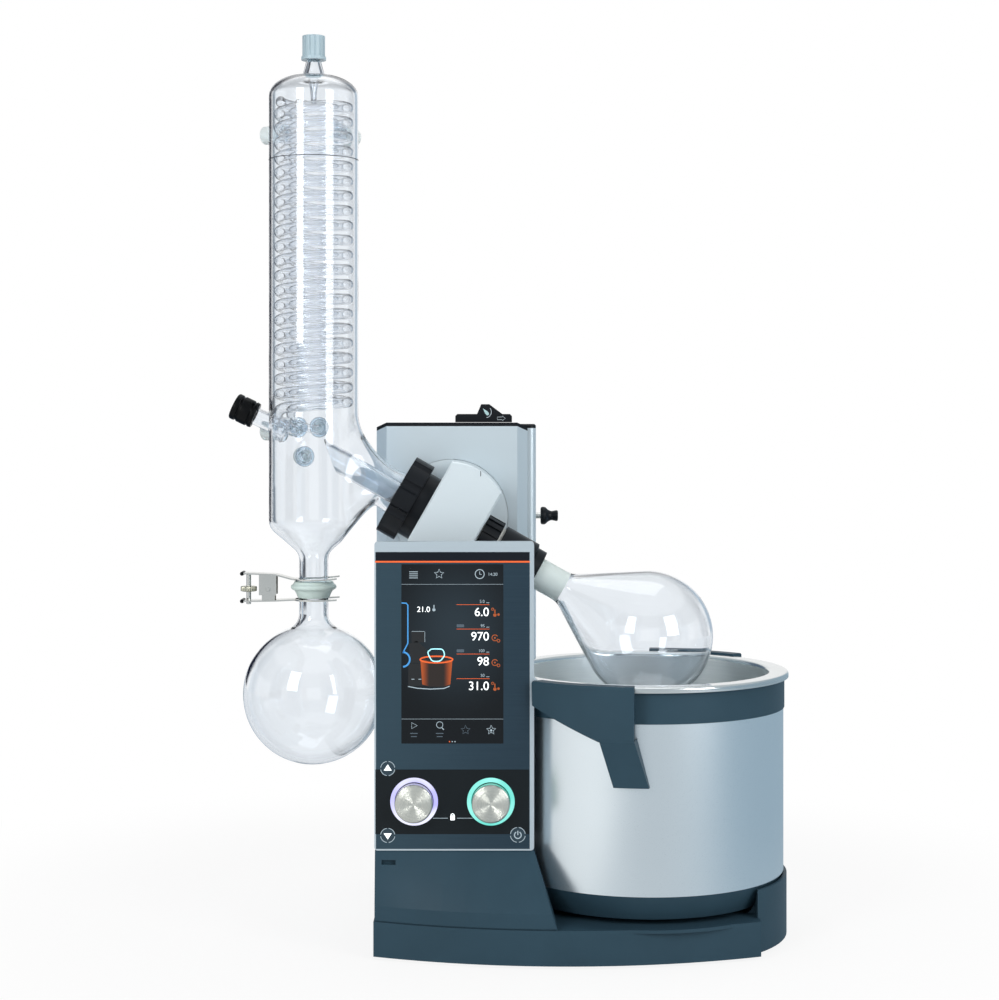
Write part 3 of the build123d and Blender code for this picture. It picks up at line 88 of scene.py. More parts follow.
class Wire:
    """One output socket, which can be used in sums."""

    def __init__(self, finish, socket):
        self.finish = finish
        self.socket = socket

    def maths(self, operation, first, second):
        """A Math node of two values or wires."""
        return self.finish.add("Math", {"operation": operation}, {0: first, 1: second})

    def __add__(self, other):
        return self.maths("ADD", self, other)

    __radd__ = __add__

    def __sub__(self, other):
        return self.maths("SUBTRACT", self, other)

    def __rsub__(self, other):
        return self.maths("SUBTRACT", other, self)

    def __mul__(self, other):
        return self.maths("MULTIPLY", self, other)

    __rmul__ = __mul__

    def __truediv__(self, other):
        return self.maths("DIVIDE", self, other)

    def __pow__(self, other):
        return self.maths("POWER", self, other)

    def __gt__(self, other):
        return self.maths("GREATER_THAN", self, other)

    def __lt__(self, other):
        return self.maths("LESS_THAN", self, other)


class Finish:
    """The node tree of one material, or of the world where an owner is given."""

    def __init__(self, name, owner=None):
        self.owner = owner or bpy.data.materials.new(name)
        self.owner.use_nodes = True
        self.tree = self.owner.node_tree
        self.tree.nodes.clear()

    def add(self, kind, settings=None, sockets=None, out=0):
        """Adds a node, sets it up, feeds its sockets and returns one of its outputs."""
        made = self.tree.nodes.new("ShaderNode" + kind)
        for key, value in (settings or {}).items():
            setattr(made, key, value)
        for key, value in (sockets or {}).items():
            if isinstance(value, Wire):
                self.tree.links.new(value.socket, made.inputs[key])
            else:
                made.inputs[key].default_value = value
        return Wire(self, made.outputs[out])

    def place(self):
        """Where a point of the surface is, in metres."""
        return self.add("TexCoord", out="Object")

    def parts(self, vector):
        """The X, Y and Z of a vector."""
        split = self.add("SeparateXYZ", sockets={0: vector}).socket.node
        return [Wire(self, output) for output in split.outputs]

    def noise(self, scale, detail=2.0, stretch=(1, 1, 1)):
        """Soft cloudy noise from 0 to 1, about scale blobs to a metre, stretched by axis."""
        where = self.add("Mapping", sockets={"Vector": self.place(), "Scale": stretch})
        return self.add("TexNoise", sockets={"Vector": where, "Scale": scale, "Detail": detail})

    def ramp(self, value, low, high):
        """A smooth step: 0 where the value is at low, 1 at high."""
        return self.add(
            "MapRange",
            {"interpolation_type": "SMOOTHSTEP"},
            {"Value": value, "From Min": low, "From Max": high},
        )

    def band(self, value, low, low_end, high, high_end):
        """1 between two smooth steps: it rises from low to low_end and falls from high to high_end."""
        return self.ramp(value, low, low_end) * (1 - self.ramp(value, high, high_end))

    def blend(self, share, first, second):
        """A colour between two others."""
        return self.add("Mix", {"data_type": "RGBA"}, {0: share, 6: first, 7: second}, out=2)

    def bump(self, height, strength, distance=0.001):
        """A normal that follows a height in a bump node."""
        return self.add("Bump", sockets={"Height": height, "Strength": strength, "Distance": distance})

    def surface(self, shader):
        """Puts a shader on the material or world and returns that."""
        kind = "OutputWorld" if isinstance(self.owner, bpy.types.World) else "OutputMaterial"
        end = self.tree.nodes.new("ShaderNode" + kind)
        self.tree.links.new(shader.socket, end.inputs["Surface"])
        return self.owner


def tone(red, green, blue):
    """A colour given as it looks on a screen, from 0 to 255, turned into light."""
    level = np.array([red, green, blue]) / 255
    light = np.where(level <= 0.04045, level / 12.92, ((level + 0.055) / 1.055) ** 2.4)
    return (*light.tolist(), 1.0)


def shade(colour, factor):
    """A darker or paler colour: each channel times a factor, at most 1."""
    return (*(min(c * factor, 1) for c in colour[:3]), 1)


print("a middle grey is", round(tone(128, 128, 128)[0], 3), "of full light")

# %% [markdown]
# Most housings are satin paint or moulded plastic. Up close neither is one flat colour: paint has fine metal
# flake and a faint orange peel, and a moulding has an even grain from its tool. Both are noise at the right
# scale, a little in the colour, more in the roughness, and as a very low bump.

# %% Paint, plastic and metal finishes


def satin_paint(name, colour, flake=0.05, rough=0.36, metal=0.5):
    """Silver paint: fine flake in colour and roughness, orange peel as bump."""
    f = Finish(name)
    speck = f.noise(2600, 1)
    cloud = f.noise(14, 2)
    peel = f.noise(520, 2)
    dark, pale = shade(colour, 1 - flake), shade(colour, 1 + flake)
    return f.surface(
        f.add(
            "BsdfPrincipled",
            sockets={
                "Base Color": f.blend(speck * 0.6 + cloud * 0.4, dark, pale),
                "Metallic": metal,
                "Roughness": rough + (speck - 0.5) * 0.12,
                "Normal": f.bump(peel, 0.05, 0.0004),
            },
        )
    )


def moulded(name, colour, rough=0.45, grain=900, depth=0.16, sheen=0.3):
    """Moulded plastic: even tool grain as bump, soft clouds in colour and roughness."""
    f = Finish(name)
    pits = f.noise(grain, 3)
    cloud = f.noise(22, 3)
    return f.surface(
        f.add(
            "BsdfPrincipled",
            sockets={
                "Base Color": f.blend(cloud, shade(colour, 0.86), shade(colour, 1.12)),
                "Roughness": rough + (pits - 0.5) * 0.16 + (cloud - 0.5) * 0.08,
                "Specular IOR Level": sheen,
                "Normal": f.bump(pits, depth, 0.0003),
            },
        )
    )


def worked_metal(name, colour, rough=0.25, stretch=(1, 1, 60), scratch=900, depth=0.05):
    """Metal with fine lines along one axis, which the stretch squeezes."""
    f = Finish(name)
    lines = f.noise(scratch, 3, stretch)
    cloud = f.noise(30, 2)
    return f.surface(
        f.add(
            "BsdfPrincipled",
            sockets={
                "Base Color": f.blend(lines * 0.7 + cloud * 0.3, shade(colour, 0.88), colour),
                "Metallic": 1.0,
                "Roughness": rough + (lines - 0.5) * 0.14 + (cloud - 0.5) * 0.06,
                "Normal": f.bump(lines, depth, 0.0002),
            },
        )
    )


def gloss(name, colour, rough=0.1, coat=0.12):
    """A gloss front: smooth, with a clear coat and a trace of smears in its roughness."""
    f = Finish(name)
    smear = f.noise(35, 4, (1, 1, 0.4))
    lighter = tuple(min(c * 1.15 + 0.002, 1) for c in colour[:3]) + (1,)
    return f.surface(
        f.add(
            "BsdfPrincipled",
            sockets={
                "Base Color": f.blend(smear, colour, lighter),
                "Roughness": rough + smear * 0.06,
                "Specular IOR Level": 0.16,
                "Coat Weight": coat,
                "Coat Roughness": 0.04,
            },
        )
    )


def lit(name, colour, strength):
    """A sign lit in its own colour, a little uneven: a screen's glow, and painted glow on plain print."""
    f = Finish(name)
    cloud = f.noise(120, 2)
    return f.surface(
        f.add(
            "BsdfPrincipled",
            sockets={
                "Base Color": colour,
                "Roughness": 0.4,
                "Emission Color": f.blend(cloud, shade(colour, 0.9), colour),
                "Emission Strength": strength,
            },
        )
    )


# %% [markdown]
# The machine wears few finishes: silver paint in three tones and a brighter one on the bath, slate and coal black
# plastic, and bright, ground or cast metal. Their colours are given as they look on a screen.

# %% The machine's paints, plastics and metals
silver = satin_paint("silver_paint", tone(200, 212, 218))
silver_drum = satin_paint("silver_drum", tone(212, 223, 228), rough=0.42, metal=0.35)
frame_silver = satin_paint("frame_silver", tone(184, 197, 205))
jacket_silver = satin_paint("jacket_silver", tone(224, 232, 236), rough=0.3, metal=0.95)
slate = moulded("slate_plastic", tone(46, 69, 82), rough=0.46, sheen=0.12)
coal = moulded("coal_plastic", tone(14, 18, 23), rough=0.36, sheen=0.2)
rubber = moulded("foot_rubber", tone(26, 27, 29), rough=0.75, grain=400)
cap_grey = moulded("cap_grey", tone(172, 193, 202), rough=0.4)
polymer = moulded("bearing_polymer", tone(226, 228, 224), rough=0.45)
board_green = moulded("board_green", tone(30, 84, 52), rough=0.5, grain=300)
steel = worked_metal("bright_steel", tone(216, 216, 212), rough=0.2, stretch=(1, 1, 1), scratch=700)
rod_steel = worked_metal("ground_rod", tone(200, 202, 205), rough=0.18, stretch=(1, 1, 0.05))
cast = worked_metal("machined_aluminium", tone(196, 199, 202), rough=0.34, stretch=(1, 1, 20), scratch=300)
screen_black = gloss("screen_black", tone(14, 18, 22))
print("finishes", len(bpy.data.materials))

# %% [markdown]
# Clear glass is a closed wall with two faces that each bend the light. Lamps would be stopped by it and leave
# black shadows, so for shadow rays the glass gives way to a plain clear shader of the same tint. A ground joint
# is the same glass with a rough skin, kept to a stretch of its axis by a mask.

# %% Glass finishes
glass_bend = 1.47
glass_tint = (0.915, 0.94, 0.965, 1)
milk_share = 0.55


def clear_glass(name, tint=glass_tint, ground=None):
    """Clear glass; ground gives an axis and the stretch along it that is frosted."""
    f = Finish(name)
    wave = f.noise(28, 1)
    rough, frosted = 0.0, None
    if ground:
        origin, axis, low, high, frost = ground
        offset = f.add("VectorMath", {"operation": "SUBTRACT"}, {0: f.place(), 1: tuple(origin)})
        along = f.add("VectorMath", {"operation": "DOT_PRODUCT"}, {0: offset, 1: tuple(axis)}, out="Value")
        frosted = (along > low) * (along < high)
        rough = frosted * frost
    body = f.add(
        "BsdfPrincipled",
        sockets={
            "Base Color": tint,
            "Roughness": rough,
            "IOR": glass_bend,
            "Transmission Weight": 1.0,
            "Normal": f.bump(wave, 0.06, 0.002),
        },
    )
    if ground:
        milk = f.add("BsdfDiffuse", sockets={"Color": tone(226, 236, 233)})
        body = f.add("MixShader", sockets={0: frosted * milk_share, 1: body, 2: milk})
    passing = f.add("BsdfTransparent", sockets={"Color": tint})
    shadow = f.add("LightPath", out="Is Shadow Ray")
    return f.surface(f.add("MixShader", sockets={0: shadow, 1: body, 2: passing}))


def milky(name, colour, through=0.5):
    """Cloudy glass or a milky moulding: part of the light passes, softly spread."""
    f = Finish(name)
    cloud = f.noise(90, 3)
    return f.surface(
        f.add(
            "BsdfPrincipled",
            sockets={
                "Base Color": f.blend(cloud, shade(colour, 0.93), colour),
                "Roughness": 0.42 + cloud * 0.1,
                "IOR": 1.4,
                "Transmission Weight": through,
                "Normal": f.bump(f.noise(700, 2), 0.08, 0.0003),
            },
        )
    )


port_milk = milky("port_milk", tone(240, 247, 246), 0.3)
ring_milk = milky("ring_milk", tone(222, 240, 235), 0.12)
clear = clear_glass("clear_glass")
print("glass bends light by", glass_bend)

# %% [markdown]
# Every new surface is worked out as a grid of points. A lathe carries a profile round an axis. A tube carries a
# circle along a path. One function turns any such grid into a mesh of quads and closes its seams.

# %% Surfaces from grids
sheet_grid, tube_grid, ring_grid = (False, False), (False, True), (True, True)  # which ways of a grid run round


def grid_faces(block, loops, start=0):
    """Points and quads of one grid; loops says which of its two ways runs round, or holds a list of faces."""
    if isinstance(loops, list):
        return block, [[i + start for i in face] for face in loops]
    rows, columns = block.shape[:2]
    index = np.arange(rows * columns).reshape(rows, columns) + start
    if loops[0]:
        index = np.vstack([index, index[:1]])
    if loops[1]:
        index = np.hstack([index, index[:, :1]])
    quads = np.stack([index[:-1, :-1], index[:-1, 1:], index[1:, 1:], index[1:, :-1]], -1)
    return block.reshape(-1, 3), quads.reshape(-1, 4).tolist()


def skin(name, blocks, body, finish, **rest):
    """Makes a piece from one or more grids of (rows, columns, 3), each with the ways in which it runs round."""
    points, faces, start = [], [], 0
    for block, loops in blocks:
        new_points, new_faces = grid_faces(block, loops, start)
        points.append(new_points)
        faces += new_faces
        start += len(new_points)
    return piece(name, np.vstack(points), faces, body, finish, **rest)


def piece(name, points, faces, body, finish, sharp=40, replaces=(), slot=None):
    """Puts points and faces into an object that rides on a body, with its doubles merged and faces outward."""
    mesh = bpy.data.meshes.new(name)
    mesh.from_pydata(np.asarray(points).tolist(), [], faces)
    shape = bmesh.new()
    shape.from_mesh(mesh)
    bmesh.ops.remove_doubles(shape, verts=shape.verts, dist=1e-7)
    bmesh.ops.dissolve_degenerate(shape, edges=shape.edges, dist=1e-8)
    bmesh.ops.recalc_face_normals(shape, faces=shape.faces)
    shape.to_mesh(mesh)
    shape.free()
    mesh.polygons.foreach_set("use_smooth", np.ones(len(mesh.polygons), bool))
    mesh.set_sharp_from_angle(angle=radians(sharp))
    made = bpy.data.objects.new(name, mesh)
    bpy.context.scene.collection.objects.link(made)
    made.data.materials.append(finish)
    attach(made, body)
    if replaces:
        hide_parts(*replaces)
    return made


def square_to(axis):
    """Two unit vectors square to an axis and to each other, the first level."""
    axis = np.asarray(axis, float) / np.linalg.norm(axis)
    level = np.cross((0, 0, 1), axis)
    if np.linalg.norm(level) < 1e-6:
        level = np.array([1.0, 0, 0])
    level /= np.linalg.norm(level)
    return level, np.cross(axis, level)


def soften(corners, reach, steps=6):
    """Rounds the inner corners of a profile: (1-s)^2 a + 2s(1-s) corner + s^2 b, with a and b reach away."""
    p = np.asarray(corners, float)
    s = np.linspace(0, 1, steps)[:, None]
    out = [p[:1]]
    for before, at, after, r in zip(p[:-2], p[1:-1], p[2:], np.broadcast_to(reach, len(p) - 2)):
        a = at + (before - at) * min(r / np.linalg.norm(before - at), 0.49)
        b = at + (after - at) * min(r / np.linalg.norm(after - at), 0.49)
        out.append((1 - s) ** 2 * a + 2 * s * (1 - s) * at + s**2 * b)
    return np.vstack([*out, p[-1:]])


def lathe(profile, origin, axis, steps=128, ripple=None):
    """Grid of a lathe: origin + along * axis + (radius + ripple) * (cos t * u + sin t * v)."""
    along, radius = np.asarray(profile, float).T
    axis = np.asarray(axis, float)
    u, v = square_to(axis)
    t = np.linspace(0, 2 * pi, steps, endpoint=False)
    r = np.repeat(radius[:, None], steps, 1)
    if ripple is not None:
        r = r + ripple(along[:, None], radius[:, None], t[None])
    ring = np.cos(t)[:, None] * u + np.sin(t)[:, None] * v
    return np.asarray(origin) + along[:, None, None] * axis + r[..., None] * ring[None]


def tube(path, radius, around=12):
    """Grid of a tube: each path point plus radius * (cos t * n + sin t * b), frames turned along the path."""
    path = np.asarray(path, float)
    tangent = np.gradient(path, axis=0)
    tangent /= np.linalg.norm(tangent, axis=1)[:, None]
    side = np.cross(tangent, (0, 0, 1))
    side /= np.linalg.norm(side, axis=1)[:, None]
    over = np.cross(side, tangent)
    t = np.linspace(0, 2 * pi, around, endpoint=False)
    ring = np.cos(t)[None, :, None] * side[:, None] + np.sin(t)[None, :, None] * over[:, None]
    return path[:, None] + np.broadcast_to(radius, len(path))[:, None, None] * ring


print("a lathe of two rows and three steps has the shape", lathe([(0, 1), (1, 1)], (0, 0, 0), (0, 0, 1), 3).shape)

# %% [markdown]
# The axes that the glass turns about come from the machine's own joints: the flask spins on the drive's axis, the
# top cap turns on the condenser's axis, and the bath stands on its own.

# %% Axes
drive_origin = np.array(joint["flask_spin"]["pos_m"])
drive_dir = np.array(joint["flask_spin"]["axis"])
condenser_foot = np.array([*joint["top_cap_turn"]["pos_m"][:2], 0.0])
upright = np.array([0.0, 0.0, 1.0])
pot_low, pot_high = (np.array(corner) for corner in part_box("bath_pot"))
bath_foot = np.array([*((pot_low + pot_high) / 2)[:2], 0.0])
print("condenser", condenser_foot, "bath", bath_foot)

# %% [markdown]
# The condenser's jacket is blown glass: a long tube with a domed top, a funnel below, and a slanted branch that
# flows out of its side towards the drive. A boolean union of tubes would leave a hard seam, so wall and branch are
# made as one skin. First comes the tube's profile, from the ball at its foot to the neck under the cap, with its
# rows evenly spaced along the wall.

# %% Profile of the condenser
jacket_r = 0.042
wall = 0.0029
outlet_r = 0.0136
ball_r = 0.0146
ball_z = 0.3205
ball_end = 0.3125
funnel_low, funnel_high = 0.3539, 0.3784
shoulder, dome_rise = 0.7826, 0.0197
neck_r, neck_end, neck_foot_r = 0.0065, 0.826, 0.0106
barrel_low = 0.40
row_step = 0.0032

a = np.linspace(np.arcsin((ball_end - ball_z) / ball_r), np.arccos(outlet_r / ball_r), 14)
ball = np.stack([ball_z + ball_r * np.sin(a), ball_r * np.cos(a)], -1)
stem = soften(
    [ball[-1], (funnel_low, outlet_r), (funnel_high, jacket_r), (barrel_low, jacket_r)], (0.006, 0.007), 9
)
barrel = np.stack([np.linspace(barrel_low, shoulder, 60), np.full(60, jacket_r)], -1)
a = np.linspace(0, pi / 2, 16)[1:]
dome = np.stack([shoulder + dome_rise * np.sin(a), neck_foot_r + (jacket_r - neck_foot_r) * np.cos(a)], -1)
neck = soften(
    [dome[-1], (0.8052, neck_foot_r - 0.0008), (0.815, neck_r + 0.0006), (neck_end - 0.003, neck_r),
     (neck_end, neck_r + 0.0005)], 0.005
)


def even_rows(profile, step):
    """The same profile with its rows a fixed distance apart along its length."""
    run = np.concatenate([[0], np.cumsum(np.linalg.norm(np.diff(profile, axis=0), axis=1))])
    at = np.linspace(0, run[-1], int(run[-1] / step) + 1)
    return np.stack([np.interp(at, run, column) for column in profile.T], -1)


wall_rows = even_rows(np.vstack([stem, barrel[1:]]), row_step)
profile = np.vstack([ball, wall_rows[1:], dome, neck[1:]])
print("condenser profile", len(profile), "rows")

# %% [markdown]
# The profile is turned on a lathe, and a window is left in its grid where the branch grows. Rays run along the
# wall from the window's edge to an oval. An oval suits a round branch, and the rays take up the step between them.

# %% Window in the wall
columns = 144
half_window = 24
window_low, window_high = 0.357, 0.492
oval_angle = radians(46)
grid = lathe(profile, condenser_foot, upright, columns)
grid = np.roll(grid, columns // 2, 1)
low_row = int(np.searchsorted(profile[:, 0], window_low))
high_row = int(np.searchsorted(profile[:, 0], window_high))
left = columns // 2 - half_window
right = columns // 2 + half_window
rim = np.concatenate(
    [
        [(low_row, j) for j in range(left, right)],
        [(i, right) for i in range(low_row, high_row)],
        [(high_row, j) for j in range(right, left, -1)],
        [(i, left) for i in range(high_row, low_row, -1)],
    ]
)


def on_jacket(angle, row):
    """A point of the jacket at an angle from the branch and at a row of its profile, which may be a fraction."""
    z, r = (np.interp(row, np.arange(len(profile)), column) for column in profile.T)
    return condenser_foot + np.stack([r * np.cos(angle), r * np.sin(angle), z], -1)


oval_middle = np.array([0.0, (low_row + high_row) / 2 - 0.5])
oval_half = np.array([oval_angle, (high_row - low_row) / 2 - 2.5])
rim_angle = rim[:, 1] * (2 * pi / columns) - pi
offset = np.stack([rim_angle, rim[:, 0]], -1) - oval_middle
bearing = np.arctan2(offset[:, 1] / oval_half[1], offset[:, 0] / oval_half[0])
oval = oval_middle + oval_half * np.stack([np.cos(bearing), np.sin(bearing)], -1)
share = np.linspace(0, 1, 7)[:, None, None]
flat_part = (oval_middle + offset)[None] * (1 - share) + oval[None] * share
wall_part = on_jacket(flat_part[..., 0], flat_part[..., 1])
print("window of", len(rim), "points")

# %% [markdown]
# From the oval each ray follows a Hermite curve. It leaves along the wall and arrives along the drive's axis, so
# the branch flows out of the wall. It ends in the flange that the union nut holds. Solidify then gives the whole
# skin its wall.

# %% Branch and jacket
branch_r = 0.0195
branch_start = -0.066
flange_left, flange_right, flange_r = -0.050, -0.0455, 0.029
leave = wall_part[-1] - on_jacket(*(oval + (oval - oval_middle) * 0.02).T)
leave /= np.linalg.norm(leave, axis=1)[:, None]
drive_up = np.array([-drive_dir[2], 0, drive_dir[0]])
neck_middle = drive_origin + drive_dir * branch_start
ring = np.cos(bearing)[:, None] * np.array([0, 1.0, 0]) + np.sin(bearing)[:, None] * drive_up
arrive = neck_middle + branch_r * ring
reach = np.linalg.norm(arrive - wall_part[-1], axis=1)[:, None]
flow = 0.66 + 0.24 * np.sin(bearing)[:, None]  # a straighter underside, a flowing top
s = np.linspace(0, 1, 24)[1:, None, None]
curve = (
    (2 * s**3 - 3 * s**2 + 1) * wall_part[-1]
    + (s**3 - 2 * s**2 + s) * leave * reach * flow
    + (3 * s**2 - 2 * s**3) * arrive
    + (s**3 - s**2) * drive_dir * reach * flow
)
rims = soften(
    [
        (branch_start, branch_r),
        (-0.057, branch_r + 0.0012),
        (flange_left, branch_r + 0.001),
        (flange_left, flange_r),
        (flange_right, flange_r),
        (flange_right, branch_r - wall),
    ],
    0.0018,
)
collar = drive_origin + rims[1:, 0][:, None, None] * drive_dir + rims[1:, 1][:, None, None] * ring
branch = np.concatenate([wall_part, curve, collar])
below = grid[: low_row + 1]
above = grid[high_row:]
side_columns = np.arange(right, left + columns + 1) % columns
beside = grid[low_row : high_row + 1][:, side_columns]
jacket = skin(
    "condenser_glass",
    [(below, tube_grid), (above, tube_grid), (beside, sheet_grid), (branch, tube_grid)],
    "drive",
    clear,
    replaces=("condenser_jacket",),
    slot="clear_glass",
)
thick = jacket.modifiers.new("glass_wall", "SOLIDIFY")
thick.thickness = wall
thick.offset = -1
print("jacket", len(jacket.data.polygons), "faces")

# %% [markdown]
# Inside the jacket hangs a double coil that the cooling water runs through, an outer and an inner winding. Each
# is a hollow tube along a helix. The feet of the windings bend out to two of the hose ports.

# %% Condenser coil
coil_turns, coil_pitch = 21, 0.0138
coil_low, coil_drop = 0.489, 0.017
coil_lead, foot_turns = 0.18, 0.3  # turns below the first full one, turns over which a foot bends
foot_reach = 0.0385
round_end = 0.02  # turns over which the top end closes
coil_windings = ((0.0320, 0.0052, 117), (0.0192, 0.0043, 88))  # radius, its tube's radius, angle of its port
coil_wall = 0.0008
coil_finish = clear_glass("coil_glass", (0.975, 0.982, 0.992, 1))


def winding(radius, bore, port):
    """Tube along a helix: angle and height grow evenly, one pitch a turn; the foot swings out to its port."""
    turns = np.linspace(-coil_lead, coil_turns, coil_turns * 48 + 10)
    t = radians(port) + 2 * pi * (turns + coil_lead)
    near = np.clip(1 - (turns + coil_lead) / foot_turns, 0, 1)
    foot = near**2 * (3 - 2 * near)
    r = radius + (foot_reach - radius) * foot
    path = np.stack([r * np.cos(t), r * np.sin(t), coil_low + coil_pitch * turns - coil_drop * foot], -1)
    cap = np.sqrt(np.clip((coil_turns - turns) / round_end, 0, 1))
    return tube(condenser_foot + path, bore * np.maximum(cap, 0.02), 14)


blocks = []
for radius, tube_radius, port in coil_windings:
    outside, inside = winding(radius, tube_radius, port), winding(radius, tube_radius - coil_wall, port)
    blocks.append((np.concatenate([outside, inside[::-1]]), ring_grid))
coil = skin("coil_glass", blocks, "drive", coil_finish, replaces=("condenser_coil",), slot="clear_glass")
print("coil", len(coil.data.polygons), "faces")

# %% [markdown]
# Six hose ports and a slanted nozzle are fused to the jacket. Each is a short glass tube on a thick round boss,
# which shows through the clear front as a bright ring. Inside the dome a small drip tip hangs under the neck. A
# thin dark line is printed round the front of the jacket.

# %% Ports, nozzle, drip tip and printed line
ports = [(117, 0.472), (88, 0.472), (145, 0.468), (108, 0.444), (145, 0.751), (55, 0.751)]
port_shape = soften(
    [(0.0372, 0.0030), (0.0372, 0.0056), (0.0396, 0.0056), (0.0404, 0.0098), (0.0430, 0.0100), (0.0446, 0.0066),
     (0.0480, 0.0056), (0.0480, 0.0030), (0.0372, 0.0030)],
    0.0012, 5)


def port_glass(angle, z):
    """A lathe about a level line from the condenser's axis: bore, boss on the wall and a short outer tube."""
    out = (cos(radians(angle)), sin(radians(angle)), 0)
    return lathe(port_shape, condenser_foot + upright * z, out, 48), ring_grid


nozzle_dir = np.array(joint["side_cap_turn"]["axis"])
side_low, side_high = (np.array(corner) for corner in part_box("side_cap"))
side_middle = (side_low + side_high) / 2
nozzle_dir = nozzle_dir * np.sign(np.dot(nozzle_dir, (-1, 0, 0.5)))
nozzle_shape = soften(
    [(-0.0440, 0.0062), (-0.0440, 0.0140), (-0.0330, 0.0088), (-0.0120, 0.0084), (0.0020, 0.0084),
     (0.0020, 0.0062), (-0.0440, 0.0062)],
    0.004, 6)
nozzle = lathe(nozzle_shape, side_middle, nozzle_dir, 64), ring_grid
tip_shape = soften(
    [(0.8020, 0.0044), (0.8020, 0.0056), (0.7950, 0.0042), (0.7860, 0.0030), (0.7785, 0.0026), (0.7785, 0.0014),
     (0.7870, 0.0018), (0.8020, 0.0044)], 0.002, 5)
drip_tip = lathe(tip_shape, condenser_foot, upright, 48), ring_grid
blocks = [port_glass(*port) for port in ports] + [nozzle, drip_tip]
skin("port_glass", blocks, "drive", clear, slot="clear_glass")

line_z, line_half, line_lift = 0.7228, 0.00032, 0.00012
t = np.linspace(pi, 2 * pi, 97)
cut = np.array([(-line_half, 0), (-line_half, line_lift), (line_half, line_lift), (line_half, 0)])
front_half = np.stack([np.cos(t), np.sin(t), 0 * t], -1)
printed = (
    condenser_foot
    + (line_z + cut[:, 0])[None, :, None] * upright
    + (jacket_r + cut[:, 1])[None, :, None] * front_half[:, None]
)
print_black = moulded("print_black", tone(28, 32, 42))
skin("printed_line", [(printed, tube_grid)], "drive", print_black, slot="black_plastic")
print("ports", len(ports))

# %% [markdown]
# The flasks are lathes with an outer and an inner wall, so the light bends at both. The pear flask is a ball that
# runs out into a cone. Its neck and the joint inside it are ground, which shows as a milky band.

# %% Pear flask
mouth, cone_end, neck_low = 0.0955, 0.1245, 0.1255
flask_r, flask_middle, flask_cone = 0.061, 0.2157, radians(29.5)
flask_wall = 0.0022
neck_outer, cone_r = 0.0147, 0.01205


def ball_points(middle, radius, start, end, count):
    """Points of a half circle's profile between two angles from the axis."""
    a = np.linspace(start, end, count)
    return np.stack([middle + radius * np.cos(a), radius * np.sin(a)], -1)


outer_ball = ball_points(flask_middle, flask_r, pi / 2 + flask_cone, 0, 48)
inner_ball = ball_points(flask_middle, flask_r - flask_wall, 0, pi / 2 + flask_cone, 48)
outer_neck = soften([(mouth, cone_r + 0.0005), (mouth, neck_outer), (neck_low, neck_outer), outer_ball[0]],
                    (0.0008, 0.006))
inner_neck = soften([inner_ball[-1], (cone_end + 0.004, 0.0125), (mouth, cone_r + 0.0005)], 0.004)
profile = np.vstack([outer_neck[1:-1], outer_ball, inner_ball, inner_neck[1:]])
frosted = clear_glass(
    "pear_flask_glass", ground=(drive_origin, drive_dir, mouth - 0.001, cone_end, 0.38)
)
grid = lathe(profile, drive_origin, drive_dir, 144)
skin("pear_flask", [(grid, ring_grid)], "rotor", frosted, replaces=("evaporating_flask",), slot="clear_glass")
print("pear flask", grid.shape)

# %% [markdown]
# The vapour tube runs through the drive from the flask into the condenser. Its far end is cut off at a slant,
# which is done by sliding the points near that end along the axis, more on the low side than on the high one.

# %% Vapour tube
tube_tip, tube_r, tube_bore = -0.140, 0.011, 0.009
slant, slant_run = 0.026, 0.03
profile = soften(
    [(tube_tip, tube_bore), (tube_tip, tube_r), (mouth - 0.004, tube_r), (mouth, cone_r - 0.0001),
     (cone_end, 0.0104), (cone_end, tube_bore), (tube_tip, tube_bore)], 0.0008, 4)
grid = lathe(profile, drive_origin, drive_dir, 64)
along = (grid - drive_origin) @ drive_dir
height = (grid - drive_origin) @ drive_up
near_tip = np.clip((tube_tip + slant_run - along) / slant_run, 0, 1)
grid = grid + (near_tip * (tube_r - height) / (2 * tube_r) * slant)[..., None] * drive_dir
skin("vapour_tube_glass", [(grid, ring_grid)], "rotor", clear, replaces=("vapour_tube",), slot="clear_glass")
print("vapour tube", grid.shape)

# %% [markdown]
# The receiving flask is a ball too. An arc leads it into its neck, which ends in the lower half of the ball joint.

# %% Receiving flask


def flare_points(middle, ball, neck, bend):
    """Arc that leads a ball into its neck: its centre lies one bend radius off both of them."""
    lift = np.sqrt((ball + bend) ** 2 - (neck + bend) ** 2)
    a = np.linspace(np.arcsin((neck + bend) / (ball + bend)), pi / 2, 14)
    return np.stack([middle + lift - bend * np.cos(a), neck + bend - bend * np.sin(a)], -1), a[0]


receiver_r, receiver_z, receiver_wall = 0.0658, 0.2221, 0.0022
cup_r, cup_low, cup_top, socket_r = 0.0168, 0.3125, 0.3205, 0.0147
receiver_bend, receiver_bore = 0.014, 0.0102
outer_flare, outer_touch = flare_points(receiver_z, receiver_r, outlet_r, receiver_bend)
inner_r, inner_bend = receiver_r - receiver_wall, receiver_bend + 0.002
inner_flare, inner_touch = flare_points(receiver_z, inner_r, receiver_bore, inner_bend)
outer_ball = ball_points(receiver_z, receiver_r, pi, outer_touch, 60)
inner_ball = ball_points(receiver_z, inner_r, inner_touch, pi, 60)
a = np.linspace(0, -np.arccos(receiver_bore / socket_r), 10)
socket = np.stack([ball_z + socket_r * np.sin(a), socket_r * np.cos(a)], -1)
outer_neck = soften(
    [outer_flare[-1], (cup_low, outlet_r), (0.3175, cup_r), (cup_top, cup_r), socket[0]], (0.002, 0.002, 0.001))
profile = np.vstack([outer_ball, outer_flare[1:], outer_neck[1:-1], socket, inner_flare[::-1], inner_ball[1:]])
grid = lathe(profile, condenser_foot, upright, 144)
